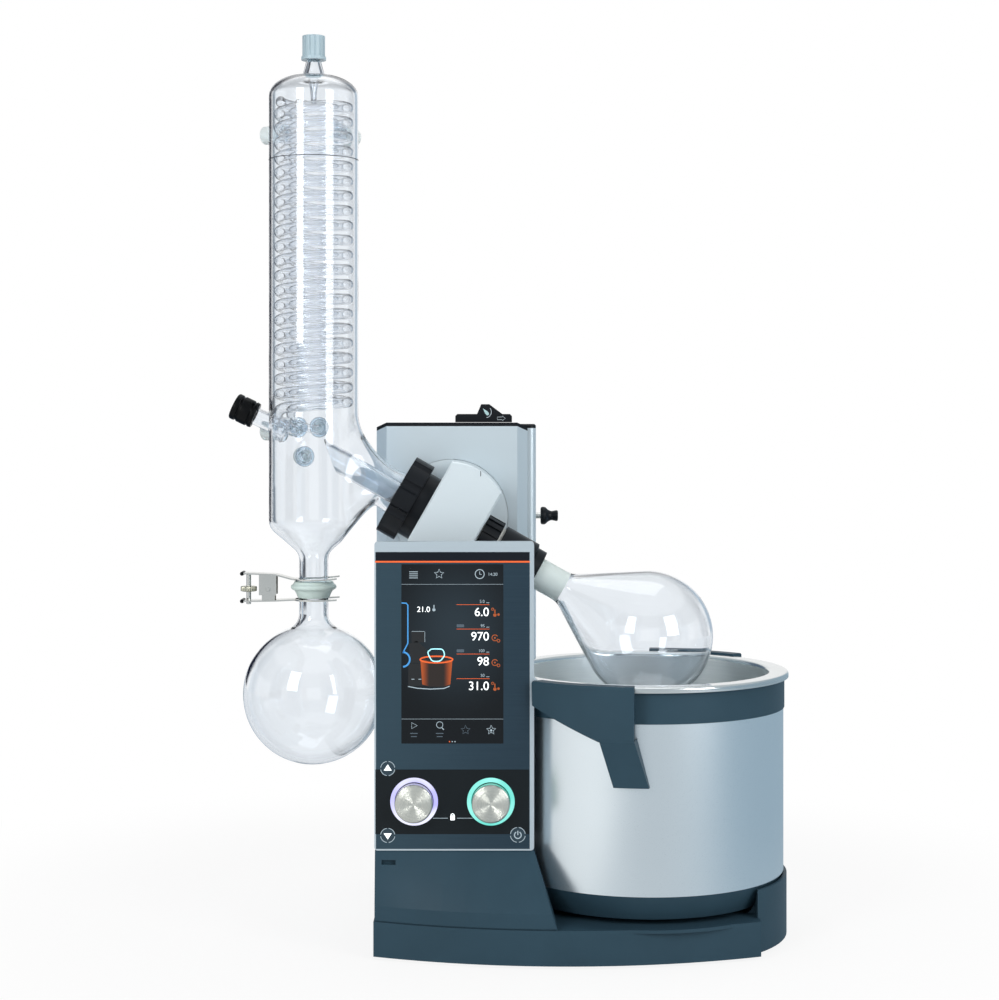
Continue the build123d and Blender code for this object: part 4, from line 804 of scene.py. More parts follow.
skin("receiver_flask", [(grid, tube_grid)], "drive", clear, replaces=("receiving_flask",), slot="clear_glass")
print("receiving flask", grid.shape)

# %% [markdown]
# The ball joint between condenser and receiver is ground glass, cloudy and pale green: a cup with a thick lip,
# turned on the lathe.

# %% Ball joint
cup_shape = soften(
    [(0.3120, 0.0138), (0.3120, 0.0146), (0.3165, 0.0164), (0.3192, 0.0180), (0.3208, 0.0212), (0.3236, 0.0214),
     (0.3252, 0.0188), (0.3276, 0.0182), (0.3276, 0.0138), (0.3120, 0.0138)], 0.0014, 6)
grid = lathe(cup_shape, condenser_foot, upright, 96)
skin("joint_cup", [(grid, ring_grid)], "drive", ring_milk, replaces=("joint_ring",), slot="joint_ring")
print("joint cup", grid.shape)

# %% [markdown]
# A steel clip holds the joint. Each jaw is a bent strip that ends in a fork, so both are bars carried along a
# path: the arm along a bent line, the fork along a U. Plates with a pin join the jaws, and a screw with a thumb
# nut opens them.

# %% Bars, plates and rods of the clip


def bar(path, side, half_width, thick):
    """A flat bar: its four corners carried along a path, the ends drawn together."""
    path = np.asarray(path, float)
    tangent = np.gradient(path, axis=0)
    tangent /= np.linalg.norm(tangent, axis=1)[:, None]
    side = np.broadcast_to(np.asarray(side, float), path.shape)
    over = np.cross(tangent, side) * thick / 2
    across = side * np.broadcast_to(half_width, len(path))[:, None]
    corners = np.stack([path + across + over, path - across + over, path - across - over, path + across - over], 1)
    ends = corners[[0, -1]].mean(1, keepdims=True).repeat(4, 1)
    return np.concatenate([ends[:1], corners, ends[1:]]), tube_grid


clip_thick = 0.0014
fork_r, fork_half, fork_end = 0.0167, 0.0023, 0.0230
clip_middle = condenser_foot[1]
clip_screw = np.array([*joint["clip_nut_turn"]["pos_m"][:2], 0.0])
clip_pin = np.array([joint["clip_open"]["pos_m"][0], clip_middle, ball_z])
clip_left = condenser_foot[0] - 0.0665
ear_half, ear_thick = 0.0078, 0.0012


def fork(height, lift):
    """A U about the condenser: from one prong's tip round the joint to the other, its tips lifted a little."""
    t = np.radians(np.linspace(90, 270, 33))
    prong = np.linspace(fork_end, 0.002, 8)
    x = np.concatenate([prong, fork_r * np.cos(t), prong[::-1]])
    y = np.concatenate([np.full(8, fork_r), fork_r * np.sin(t), np.full(8, -fork_r)])
    z = height + lift * (np.clip(x, 0, None) / fork_end) ** 2
    path = np.stack([x, y, z], -1) + condenser_foot
    tangent = np.gradient(path, axis=0)
    side = np.cross(upright, tangent)
    return bar(path, side / np.linalg.norm(side, axis=1)[:, None], fork_half, clip_thick)


def arm(corners):
    """The bent strip from the clip's outer end to its fork, from corners of X and Z."""
    line = soften(corners, 0.004, 7)
    path = np.stack([line[:, 0], np.full(len(line), clip_middle), line[:, 1]], -1)
    return bar(path, (0, 1, 0), ear_half, clip_thick)


def ear(y, low, high, left, right):
    """An upright plate beside the clip's pin, from low to high; left and right count from the pin."""
    x = np.linspace(clip_pin[0] - left, clip_pin[0] + right, 9)
    path = np.stack([x, np.full(9, y), np.full(9, (low + high) / 2)], -1)
    return bar(path, (0, 0, 1), (high - low) / 2, ear_thick)


def rod(a, b, radius, steps=24):
    """A plain round rod between two points with small bevels."""
    a, b = np.asarray(a, float), np.asarray(b, float)
    length = np.linalg.norm(b - a)
    e = radius * 0.2
    shape = [(0, 0), (0, radius - e), (e, radius), (length - e, radius), (length, radius - e), (length, 0)]
    return lathe(shape, a, (b - a) / length, steps), tube_grid


print("clip from", round(clip_left, 4), "to", round(condenser_foot[0] + fork_end, 4))

# %% [markdown]
# The jaws are put together from these shapes. The lower jaw's plates stand inside the upper one's, so it can swing
# about the pin. The nut's ribs are a ripple on its lathe, and black sleeves cover the ends of the arms.

# %% Clip
clip_high, fork_high, clip_low, fork_low = 0.3352, 0.3294, 0.3092, 0.3104
bend_left, bend_right = -0.2170, -0.2010
pin_r, pin_past, ear_inset = 0.0022, 0.0016, 0.0018
upper_plate, lower_plate = (0.3150, 0.3340, 0.0085, 0.0075), (0.3100, 0.3240, 0.0060, 0.0060)
screw_foot = 0.3060
arm_end = condenser_foot[0] - fork_r + fork_half
pin_half = np.array([0, ear_half + pin_past, 0])
upper = [
    arm([(clip_left, clip_high), (bend_left, 0.3340), (bend_right, 0.3296), (arm_end, fork_high)]),
    fork(fork_high, 0.0016),
]
lower = [
    arm([(clip_left, clip_low), (bend_left, 0.3096), (bend_right, fork_low), (arm_end, fork_low)]),
    fork(fork_low, 0.0008),
]
for side in (-1, 1):
    upper_y, lower_y = (clip_middle + side * half for half in (ear_half, ear_half - ear_inset))
    upper.append(ear(upper_y, *upper_plate))
    lower.append(ear(lower_y, *lower_plate))
upper.append(rod(clip_pin - pin_half, clip_pin + pin_half, pin_r))
upper.append(rod(clip_screw + upright * screw_foot, clip_screw + upright * clip_high, pin_r))
skin("clip_upper_plate", upper, "drive", steel, replaces=("clip_upper_jaw",), slot="steel")
skin("clip_lower_plate", lower, "clip_lower_jaw", steel, replaces=("clip_lower_jaw",), slot="steel")


def knurl(count, depth):
    """Fine ribs for a lathe: the radius swings with the angle where the profile is at its widest."""
    return lambda along, radius, t: depth * np.cos(count * t) * (radius > 0.9 * radius.max())


nut_shape = soften([(-0.0026, 0.0024), (-0.0026, 0.0058), (-0.0020, 0.0074), (0.0020, 0.0074), (0.0026, 0.0058),
                    (0.0026, 0.0024), (-0.0026, 0.0024)], 0.0005, 3)
nut_grid = lathe(nut_shape, clip_screw + upright * ball_z, upright, 144, knurl(24, 0.00025))
brass_steel = worked_metal("brass_steel", tone(206, 204, 186), rough=0.24)
skin("clip_thumb_nut", [(nut_grid, ring_grid)], "clip_nut", brass_steel, replaces=("clip_nut",), slot="steel")
sleeve_r = 0.0019
tip_places = {"clip_tip_upper": ("drive", 0.3350), "clip_tip_lower": ("clip_lower_jaw", 0.3093)}
for name, (body, height) in tip_places.items():
    near, far = ((clip_left, clip_middle + side * ear_half, height) for side in (-1, 1))
    skin(name, [rod(near, far, sleeve_r)], body, coal, slot="black_plastic")
print("clip of", len(upper) + len(lower), "bars, plates and rods")

# %% [markdown]
# The side cap is a black screw cap with two turned grooves and shallow ribs between them, and the depth stop's
# knob is a small turned handle that flares towards the machine. Both are lathes.

# %% Side cap and stop knob
cap_half, cap_r = 0.0113, 0.0126
cap_black = moulded("cap_black", tone(5, 6, 8), rough=0.3, sheen=0.12)
cap_shape = soften(
    [(-cap_half, 0.0086), (-cap_half, cap_r - 0.0006), (-0.0080, cap_r), (-0.0074, cap_r - 0.0010),
     (-0.0064, cap_r - 0.0010), (-0.0058, cap_r), (0.0036, cap_r), (0.0042, cap_r - 0.0010),
     (0.0052, cap_r - 0.0010), (0.0058, cap_r), (0.0100, cap_r), (cap_half, cap_r - 0.0013), (cap_half, 0)],
    0.0006, 4)


def grip(along, radius, t):
    """Thirty shallow ribs round the cap's middle stretch."""
    return 0.00018 * np.cos(30 * t) * (along > -0.005) * (along < 0.003) * (radius > 0.012)


grid = lathe(cap_shape, side_middle, nozzle_dir, 180, grip)
skin("side_cap_turned", [(grid, tube_grid)], "side_cap", cap_black, replaces=("side_cap",), slot="black_plastic")
knob_low, knob_high = (np.array(corner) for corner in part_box("stop_knob"))
knob_foot = np.array([knob_low[0], (knob_low[1] + knob_high[1]) / 2, (knob_low[2] + knob_high[2]) / 2])
stop_shape = soften(
    [(0, 0), (0, 0.0078), (0.0012, 0.0090), (0.0046, 0.0090), (0.0076, 0.0060), (0.0110, 0.0045), (0.0164, 0.0057),
     (0.0177, 0.0048), (0.0177, 0)], 0.0014, 5)
grid = lathe(stop_shape, knob_foot, (1, 0, 0), 72)
skin("stop_handle", [(grid, tube_grid)], "stop_knob", coal, replaces=("stop_knob",), slot="black_plastic")
print("side cap at", np.round(side_middle, 4), "stop knob at", np.round(knob_foot, 4))

# %% [markdown]
# The bath's pot is pressed from sheet steel. Its brim rolls over in one soft curve, so it is turned as a profile
# with rounded corners. The brim is polished, and the inside is brushed round the pot: the same metal with a
# rougher skin below the brim.

# %% Pot with a rolled brim
pot_r, brim_r, pot_floor, sheet = 0.117, 0.1358, 0.092, 0.0012
brim_low, brim_top = 0.2406, 0.246
pot_shape = soften(
    [(pot_floor, 0), (pot_floor, pot_r), (brim_top, pot_r), (brim_top, brim_r), (brim_low, brim_r),
     (brim_low, brim_r - sheet), (brim_top - sheet, brim_r - sheet), (brim_top - sheet, pot_r + sheet),
     (pot_floor - sheet, pot_r + sheet), (pot_floor - sheet, 0)],
    (0.014, 0.0042, 0.0040, 0.0003, 0.0003, 0.0030, 0.0034, 0.015), 8)


def pot_metal():
    """Steel with fine lines round the pot: noise squeezed along Z, rough inside and smooth on the brim."""
    f = Finish("pot_steel")
    x, y, z = f.parts(f.place())
    lines = f.noise(420, 3, (0.06, 0.06, 3))
    cloud = f.noise(18, 2)
    brim = f.ramp(z, 0.2415, 0.2435)
    return f.surface(
        f.add(
            "BsdfPrincipled",
            sockets={
                "Base Color": f.blend(lines * 0.6 + cloud * 0.4, tone(198, 203, 203), tone(224, 228, 228)),
                "Metallic": 0.95,
                "Roughness": 0.34 - brim * 0.2 + (lines - 0.5) * 0.12,
                "Normal": f.bump(lines, 0.06, 0.0002),
            },
        )
    )


grid = lathe(pot_shape, bath_foot, upright, 192)
skin("pot_steel", [(grid, tube_grid)], "bath", pot_metal(), replaces=("bath_pot",), slot="steel")
print("pot", grid.shape)

# %% [markdown]
# The control panel is a sheet of printed glass. Its colour fields, its screen and its signs are thin layers on the
# sheet. They are drawn on a flat page measured in millimetres from the panel's top left corner, to the right and
# down, and each layer is a very thin closed slab, so it has a real edge and stays sharp from near by.

# %% A page on the panel's face
panel_corner, panel_far = (np.array(corner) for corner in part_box("panel_frame"))
page_front = float(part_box("panel_glass")[0][1])
ink_depth = 0.00004


class Page:
    """Layers of ink on the panel: every shape is added as a grid of points and all become one piece."""

    def __init__(self, lift, front=page_front):
        self.lift = lift
        self.front = front
        self.blocks = []

    def at(self, u, v, y):
        """Page millimetres to metres: right along X, down along Z."""
        x = panel_corner[0] + np.asarray(u) * 0.001
        z = panel_far[2] - np.asarray(v) * 0.001
        return np.stack(np.broadcast_arrays(x, y, z), -1)

    def plate(self, outline):
        """A filled shape: rows from its middle out to the edge in front, and back to the middle behind."""
        u, v = np.asarray(outline, float).T
        front, back = self.front - self.lift, self.front + ink_depth
        middle = np.full(len(u), u.mean()), np.full(len(v), v.mean())
        rows = [self.at(*middle, front), self.at(u, v, front), self.at(u, v, back), self.at(*middle, back)]
        self.blocks.append((np.stack(rows), tube_grid))

    def stroke(self, path, width, closed=False):
        """A line: a flat bar carried along a path, its ends drawn together to a point."""
        path = np.asarray(path, float)
        step = np.roll(path, -1, 0) - np.roll(path, 1, 0) if closed else np.gradient(path, axis=0)
        step /= np.linalg.norm(step, axis=1)[:, None]
        side = np.stack([-step[:, 1], step[:, 0]], -1) * width / 2
        front, back = self.front - self.lift, self.front + ink_depth
        a, b = (path + side).T, (path - side).T
        strip = np.stack([self.at(*a, front), self.at(*b, front), self.at(*b, back), self.at(*a, back)], 1)
        if not closed:
            ends = strip[[0, -1]].mean(1, keepdims=True).repeat(4, 1)
            strip = np.concatenate([ends[:1], strip, ends[1:]])
        self.blocks.append((strip, (closed, True)))

    def ring(self, u, v, radius, width, start=0, end=360):
        """A circle's outline, or an arc of it, angles counted from the right towards the bottom."""
        t = np.radians(np.linspace(start, end, 48, endpoint=end - start < 360))
        path = np.stack([u + radius * np.cos(t), v + radius * np.sin(t)], -1)
        self.stroke(path, width, end - start >= 360)

    def disc(self, u, v, radius):
        """A filled circle."""
        t = np.linspace(0, 2 * pi, 32, endpoint=False)
        self.plate(np.stack([u + radius * np.cos(t), v + radius * np.sin(t)], -1))

    def box(self, u0, v0, u1, v1, corner=0.0):
        """A filled rectangle with round corners."""
        t = np.radians(np.arange(0, 360, 9))
        middle = np.array([(u0 + u1) / 2, (v0 + v1) / 2])
        half = np.array([(u1 - u0) / 2, (v1 - v0) / 2]) - corner
        way = np.stack([np.cos(t + 0.01), np.sin(t + 0.01)], -1)
        self.plate(middle + np.sign(way) * half + way * corner)

    def star(self, u, v, radius, width):
        """A five-pointed star's outline: the radius swings between the tips and the notches."""
        k = np.arange(10)
        r = np.where(k % 2 == 0, radius, radius * 0.45)
        t = k * pi / 5 - pi / 2
        self.stroke(np.stack([u + r * np.cos(t), v + r * np.sin(t)], -1), width, True)

    def number(self, text, right, base, height):
        """A number set in the built-in type, its right end and its foot on the page, scaled to a height."""
        curve = bpy.data.curves.new("number", "FONT")
        curve.body = text
        curve.extrude = 0.01
        holder = bpy.data.objects.new("number", curve)
        mesh = bpy.data.meshes.new_from_object(holder)
        flat = np.empty(len(mesh.vertices) * 3)
        mesh.vertices.foreach_get("co", flat)
        flat = flat.reshape(-1, 3)
        faces = [list(face.vertices) for face in mesh.polygons]
        bpy.data.objects.remove(holder)
        bpy.data.meshes.remove(mesh)
        bpy.data.curves.remove(curve)
        scale = height / (flat[:, 1].max() - flat[:, 1].min())
        u = right + (flat[:, 0] - flat[:, 0].max()) * scale
        v = base - (flat[:, 1] - flat[:, 1].min()) * scale
        y = np.where(flat[:, 2] > 0, self.front - self.lift, self.front + ink_depth)
        self.blocks.append((self.at(u, v, y), faces))

    def print_on(self, name, finish, body="base", slot="panel_glass"):
        """Makes one piece of all the shapes drawn so far."""
        made = skin(name, self.blocks, body, finish, slot=slot)
        print(name, len(made.data.polygons), "faces")


print("the panel is", np.round((panel_far - panel_corner)[[0, 2]] * 1000, 1), "mm")

# %% [markdown]
# The sheet itself is slate blue with a fine sideways grain, and painted shade darkens it towards the right. A
# black head band, an orange line below it and a black field behind the knobs are separate layers. The screen is
# black glass with a soft bluish glow in its middle.

# %% Colour fields of the panel


def slate_sheet_painted_shade():
    """Printed glass: slate blue with painted shade to the right, and fine level lines in colour and roughness."""
    f = Finish("slate_sheet_painted_shade")
    x, y, z = f.parts(f.place())
    lines = f.noise(500, 3, (0.04, 1, 4))
    # painted shade: the sheet's colour darkens from the panel's left edge to its right edge
    right = f.ramp(x, panel_corner[0], panel_far[0])
    base = f.blend(right, tone(45, 65, 77), tone(32, 49, 62))
    return f.surface(
        f.add(
            "BsdfPrincipled",
            sockets={
                "Base Color": f.blend(lines * 0.35, base, tone(58, 79, 91)),
                "Roughness": 0.2 + lines * 0.08,
                "Specular IOR Level": 0.14,
                "Coat Weight": 0.08,
                "Coat Roughness": 0.04,
            },
        )
    )


front_gloss = slate_sheet_painted_shade()
orange = lit("orange_ink", tone(204, 84, 30), 0.55)
white_ink = lit("white_ink", tone(236, 242, 244), 0.95)
pale_ink = lit("pale_ink", tone(134, 148, 156), 0.75)
dim_ink = lit("dim_ink", tone(62, 74, 84), 0.6)
rust_ink = lit("rust_ink", tone(140, 66, 24), 0.7)
blue_ink = lit("blue_ink", tone(52, 122, 178), 0.8)
ice_ink = lit("ice_ink", tone(150, 214, 222), 0.85)
coal_ink = lit("coal_ink", tone(9, 12, 15), 0.5)

field = gloss("black_field", tone(14, 21, 25), 0.2)
head_band = Page(0.00012)
head_band.box(1.0, 9.4, 137.6, 17.2)
head_band.print_on("head_band", gloss("head_black", tone(12, 17, 26), 0.22))
# painted glow: the printed orange line gives out light
line = Page(0.00014)
line.box(0.6, 17.2, 138.2, 18.7)
line.print_on("orange_line", orange)
knob_field = Page(0.00010)
knob_field.box(1.0, 202.7, 137.6, 260.2)
knob_field.print_on("knob_field", field)


def screen_finish():
    """Black glass with a blue-grey glow: light falls off with the distance from the middle of the picture."""
    f = Finish("screen_glow")
    glow_middle = (-0.046, page_front, 0.292)
    offset = f.add("VectorMath", {"operation": "SUBTRACT"}, {0: f.place(), 1: glow_middle})
    x, y, z = f.parts(offset)
    away = (x * x * 0.8 + z * z * 0.5) ** 0.5
    glow = 1 - f.ramp(away, 0.0, 0.062)
    return f.surface(
        f.add(
            "BsdfPrincipled",
            sockets={
                "Base Color": tone(10, 13, 16),
                "Roughness": 0.06 + f.noise(40, 3) * 0.05,
                "Specular IOR Level": 0.25,
                "Emission Color": f.blend(glow, tone(7, 10, 13), tone(38, 50, 58)),
                "Emission Strength": 1.0,
            },
        )
    )


screen = Page(0.00016)
screen.box(24.1, 20.2, 114.7, 179.6, 0.4)
screen.print_on("screen_face", screen_finish(), slot="display")

# %% [markdown]
# The picture on the screen shows four readings with their set values, a small sketch of the machine, and two rows
# of signs. Only numbers and plain signs are drawn. The numbers are Blender's own type turned into a mesh.

# %% Readings on the screen
rows = [(56.1, "5.0", "6.0"), (77.8, "95", "970"), (100.0, "100", "98"), (121.9, "50", "31.0")]
reading, setting, rule = Page(0.00030), Page(0.00030), Page(0.00028)
for v, set_value, value in rows:
    rule.box(73.1, v - 0.2, 102.4, v + 0.2)
    reading.number(value, 101.8, v + 10.2, 7.6)
    setting.number(set_value, 98.0, v - 1.6, 2.6)
    setting.stroke([(99.6, v - 1.7), (102.2, v - 1.7)], 0.5)
reading.number("21.0", 49.4, 62.6, 4.8)
setting.number("14:20", 109.4, 30.4, 2.7)
setting.ring(93.7, 28.9, 4.0, 0.7)
setting.stroke([(93.7, 26.6), (93.7, 29.2), (95.4, 29.2)], 0.6)
setting.stroke([(24.2, 38.0), (114.6, 38.0)], 0.25)
setting.stroke([(24.2, 157.8), (114.6, 157.8)], 0.25)
for v in (26.9, 28.7, 30.5, 32.3):
    setting.stroke([(31.0, v), (38.7, v)], 0.6)
setting.star(57.6, 28.9, 4.4, 0.55)
setting.star(103.9, 167.6, 4.3, 0.55)
setting.disc(103.9, 167.9, 1.0)
setting.stroke([(33.2, 161.0), (38.2, 163.7), (33.2, 166.4)], 0.5, True)
setting.ring(58.1, 163.0, 2.8, 0.5)
setting.stroke([(59.8, 165.2), (61.8, 167.4)], 0.8)
setting.disc(53.0, 60.6, 1.4)
setting.stroke([(53.0, 56.4), (53.0, 60.0)], 0.9)
setting.disc(69.3, 177.9, 0.55)
setting.disc(71.7, 177.9, 0.55)
faint = Page(0.00029)
faint.star(81.1, 167.6, 4.3, 0.5)
for u in (35.2, 58.1):
    for v, half in ((170.6, 3.4), (173.4, 2.6)):
        faint.stroke([(u - half, v), (u + half, v)], 0.8)
for v in (75.0, 97.2):
    faint.box(73.2, v - 1.4, 79.8, v + 1.2, 0.6)
rule.disc(66.9, 177.9, 0.6)
sign = Page(0.00030)
for v in (62.3, 128.2):
    sign.ring(105.2, v - 2.2, 1.0, 0.6)
    sign.stroke([(107.2, v - 1.8), (107.2, v + 2.2)], 1.0)
    sign.disc(107.2, v + 3.0, 1.5)
    sign.disc(110.4, v + 2.6, 1.1)
for v in (85.6, 107.6):
    sign.ring(107.2, v, 2.6, 0.7, 20, 330)
    sign.disc(107.2, v, 0.8)
    sign.ring(110.4, v + 2.6, 1.2, 0.6)
reading.print_on("readings", white_ink, slot="display")
setting.print_on("screen_signs", pale_ink, slot="display")
faint.print_on("faint_signs", dim_ink, slot="display")
rule.print_on("screen_rules", orange, slot="display")
sign.print_on("reading_signs", rust_ink, slot="display")

# %% [markdown]
# The sketch of the machine is cut off by the screen's left edge: a blue condenser and its flask, a dark drive and
# tower, a pale pear flask and a glowing bath. The bath's side fades from orange to dark in its middle.

# %% Sketch of the machine on the screen
cool = Page(0.00026)
cool.stroke([(24.2, 54.6), (28.4, 54.8), (29.8, 56.6), (29.8, 90.5), (26.4, 97.0), (25.6, 99.2)], 1.1)
cool.ring(24.9, 104.8, 6.6, 1.5, -84, 84)
cool.print_on("sketch_condenser", blue_ink, slot="display")
tower = Page(0.00022)
tower.box(33.0, 79.8, 44.8, 89.6, 1.2)
tower.plate([(31.0, 90.6), (38.0, 88.4), (46.0, 95.4), (46.4, 108.0), (31.4, 108.0)])
tower.box(30.2, 108.4, 44.4, 128.4, 1.0)
tower.print_on("sketch_tower", coal_ink, slot="display")
base_line = Page(0.00024)
base_line.stroke([(30.0, 128.8), (38.0, 130.4), (50.0, 131.2), (62.0, 130.6), (67.0, 128.6)], 0.8)
base_line.stroke([(33.2, 79.9), (44.6, 79.9)], 0.35)
base_line.stroke([(44.9, 80.2), (44.9, 89.4)], 0.35)
base_line.stroke([(33.0, 122.4), (35.6, 122.4)], 0.6)
base_line.stroke([(39.2, 122.4), (41.8, 122.4)], 0.6)
base_line.print_on("sketch_lines", pale_ink, slot="display")


def glowing_side():
    """Orange at both edges and dark between them, by the distance from the bath's middle."""
    f = Finish("glowing_side")
    x, y, z = f.parts(f.place())
    middle = panel_corner[0] + 0.0552
    edge = f.ramp(((x - middle) * (x - middle)) ** 0.5, 0.006, 0.0145)
    return f.surface(
        f.add(
            "BsdfPrincipled",
            sockets={
                "Base Color": tone(20, 12, 8),
                "Roughness": 0.3,
                "Emission Color": f.blend(edge, tone(30, 20, 15), tone(206, 92, 24)),
                "Emission Strength": 0.8,
            },
        )
    )


bath_side = Page(0.00024)
bath_side.plate([(41.0, 105.4), (42.6, 127.0), (49.0, 129.0), (62.0, 129.0), (67.6, 127.0), (69.4, 105.4)])
bath_side.print_on("sketch_bath", glowing_side(), slot="display")
t = np.linspace(0, 2 * pi, 48, endpoint=False)
brim = Page(0.00028)
brim.stroke(np.stack([55.2 + 14.4 * np.cos(t), 104.9 + 2.9 * np.sin(t)], -1), 1.3, True)
brim.print_on("sketch_brim", orange, slot="display")
pear = Page(0.00032)
pear.stroke(soften([(48.4, 96.0), (52.6, 95.4), (61.0, 95.6), (62.8, 101.2), (58.4, 106.6), (51.2, 106.4),
                    (47.4, 99.4), (48.4, 96.0)], 2.4)[1:-1], 1.0, True)
pear.print_on("sketch_pear", ice_ink, slot="display")

# %% [markdown]
# Below the screen there are three touch keys, a lock sign between thin lines, and two knobs. The keys are smooth
# glass with a printed ring, so they have no travel. Their printed arrows, rings and lines give out a painted glow.

# %% Touch keys and lock sign
key_places = ((11.9, 201.8, 6.6), (11.9, 261.3, 6.6), (127.6, 260.8, 6.9))  # right, down, radius
keys = Page(0.00018)
for u, v, r in key_places:
    keys.disc(u, v, r)
keys.print_on("key_faces", gloss("key_slate", tone(44, 60, 70), 0.12, 0.2))
marks = Page(0.00032)
marks.plate([(11.9, 198.2), (15.4, 203.6), (8.4, 203.6)])
marks.plate([(11.9, 264.9), (15.4, 259.5), (8.4, 259.5)])
marks.box(67.6, 243.6, 71.6, 247.8, 0.6)
marks.ring(69.6, 243.6, 1.5, 0.7, 180, 360)
# painted glow: the printed arrows and lock sign give out light
marks.print_on("key_arrows", white_ink)
rings = Page(0.00028)
for u, v, r in key_places:
    for start in range(8, 360, 90):
        rings.ring(u, v, r - 0.3, 0.55, start, start + 74)
rings.ring(127.6, 261.0, 3.0, 0.9, -60, 240)
rings.stroke([(127.6, 257.2), (127.6, 261.0)], 0.9)
rings.stroke([(52.2, 246.0), (65.4, 246.0)], 0.45)
rings.stroke([(73.6, 246.0), (87.4, 246.0)], 0.45)
# painted glow: the printed key rings and thin lines give out light
rings.print_on("key_rings", pale_ink)

# %% [markdown]
# Two small signs are printed on the tilt slider, a leaf and an arrow, and one tick on the drum's face shows the
# tilt. They are drawn with the same page, laid on those faces. The two signs on the slider give out a painted
# glow.

# %% Signs on the slider and the drum


def page_place(x, z):
    """Page millimetres of a point given in metres."""
    return np.stack([(np.asarray(x) - panel_corner[0]) * 1000, (panel_far[2] - np.asarray(z)) * 1000], -1)


slider_front = float(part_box("tilt_slider")[0][1])
leaf_x, leaf_z, leaf_turn = -0.0206, 0.4872, 0.7
arc_z, arc_r = 0.4868, 0.0056
# painted glow: the printed leaf gives out light
leaf_painted_glow = lit("leaf_painted_glow", tone(150, 180, 182), 0.4)
leaf = Page(0.00008, slider_front)
t = np.linspace(0, 2 * pi, 40, endpoint=False)
leaf_half = np.stack([0.0024 * np.sin(t) * np.sin(t / 2) ** 2, 0.0044 * np.cos(t)], -1)
turned = leaf_half @ np.array([[cos(leaf_turn), sin(leaf_turn)], [-sin(leaf_turn), cos(leaf_turn)]])
leaf.plate(page_place(leaf_x + turned[:, 0], leaf_z + turned[:, 1]))
leaf.print_on("slider_leaf", leaf_painted_glow, body="tilt_slider", slot="black_plastic")
# painted glow: the printed arrow gives out light
arrow_painted_glow = lit("arrow_painted_glow", tone(150, 160, 166), 0.5)
pointer = Page(0.00008, slider_front)
t = np.radians(np.linspace(-80, 40, 16))
pointer.stroke(page_place(leaf_x + arc_r * np.cos(t), arc_z + arc_r * np.sin(t)), 0.6)
arrow_x = np.array([-0.0092, -0.0044, -0.0044, -0.0014, -0.0044, -0.0044, -0.0092])
arrow_z = 0.4806 + np.array([0.0013, 0.0013, 0.0023, 0, -0.0023, -0.0013, -0.0013])
pointer.stroke(page_place(arrow_x, arrow_z), 0.45, True)
pointer.print_on("slider_arrow", arrow_painted_glow, body="tilt_slider", slot="black_plastic")
tick = Page(0.00008, float(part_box("tilt_drum")[0][1]))
tick.plate(page_place([-0.0247, -0.0241, -0.0241, -0.0247], [0.4318, 0.4318, 0.4272, 0.4272]))
tick.print_on("drum_tick", moulded("tick_black", tone(24, 28, 34)), body="drive", slot="black_plastic")

# %% [markdown]
# The knobs are turned from bright metal. Their faces carry very fine circular tool marks, which spread each
# reflection along the radius. The marks are made by tilting the normal inwards and outwards by a random amount
# for each fine ring, so the brushed look comes from the light and stays right when the knob turns.

# %% Knobs
knob_r, knob_length = 0.0169, 0.013
marks_to_metre = 40000


def spun_metal(name, middle):
    """Bright metal with circular tool marks about the Y axis through a middle."""
    f = Finish(name)
    offset = f.add("VectorMath", {"operation": "SUBTRACT"}, {0: f.place(), 1: tuple(middle)})
    flat = f.add("VectorMath", {"operation": "MULTIPLY"}, {0: offset, 1: (1, 0, 1)})
    radius = f.add("VectorMath", {"operation": "LENGTH"}, {0: flat}, out="Value")
    outward = f.add("VectorMath", {"operation": "NORMALIZE"}, {0: flat})
    outward = f.add(
        "VectorTransform", {"vector_type": "VECTOR", "convert_from": "OBJECT", "convert_to": "WORLD"}, {0: outward}
    )
    fine_ring = f.add("Math", {"operation": "FLOOR"}, {0: radius * marks_to_metre})
    mark = f.add("TexWhiteNoise", {"noise_dimensions": "1D"}, {"W": fine_ring}, out="Value")
    tilt = f.add("VectorMath", {"operation": "SCALE"}, {0: outward, "Scale": (mark - 0.5) * 1.1})
    normal = f.add("VectorMath", {"operation": "ADD"}, {0: f.add("NewGeometry", out="Normal"), 1: tilt})
    normal = f.add("VectorMath", {"operation": "NORMALIZE"}, {0: normal})
    band = f.noise(60, 2)
    return f.surface(
        f.add(
            "BsdfPrincipled",
            sockets={
                "Base Color": f.blend(band, tone(188, 190, 182), tone(214, 214, 206)),
                "Metallic": 1.0,
                "Roughness": 0.24 + mark * 0.08,
                "Normal": normal,
            },
        )
    )


for side in ("left", "right"):
    low, high = (np.array(corner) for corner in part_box("knob_" + side))
    middle = (low + high) / 2
    face = np.array([middle[0], low[1], middle[2]])
    outline = soften(
        [(0, 0), (0.0002, knob_r - 0.0014), (0.0014, knob_r), (knob_length - 0.0012, knob_r),
         (knob_length, knob_r - 0.0008), (knob_length, 0)],
        (0.0006, 0.0006, 0.0006, 0.0004),
    )
    grid = lathe(outline, face, (0, 1, 0), 96)
    spun = spun_metal("spun_" + side, face)
    skin("knob_cap_" + side, [(grid, tube_grid)], "knob_" + side, spun, replaces=("knob_" + side,),
         slot="brushed_metal")


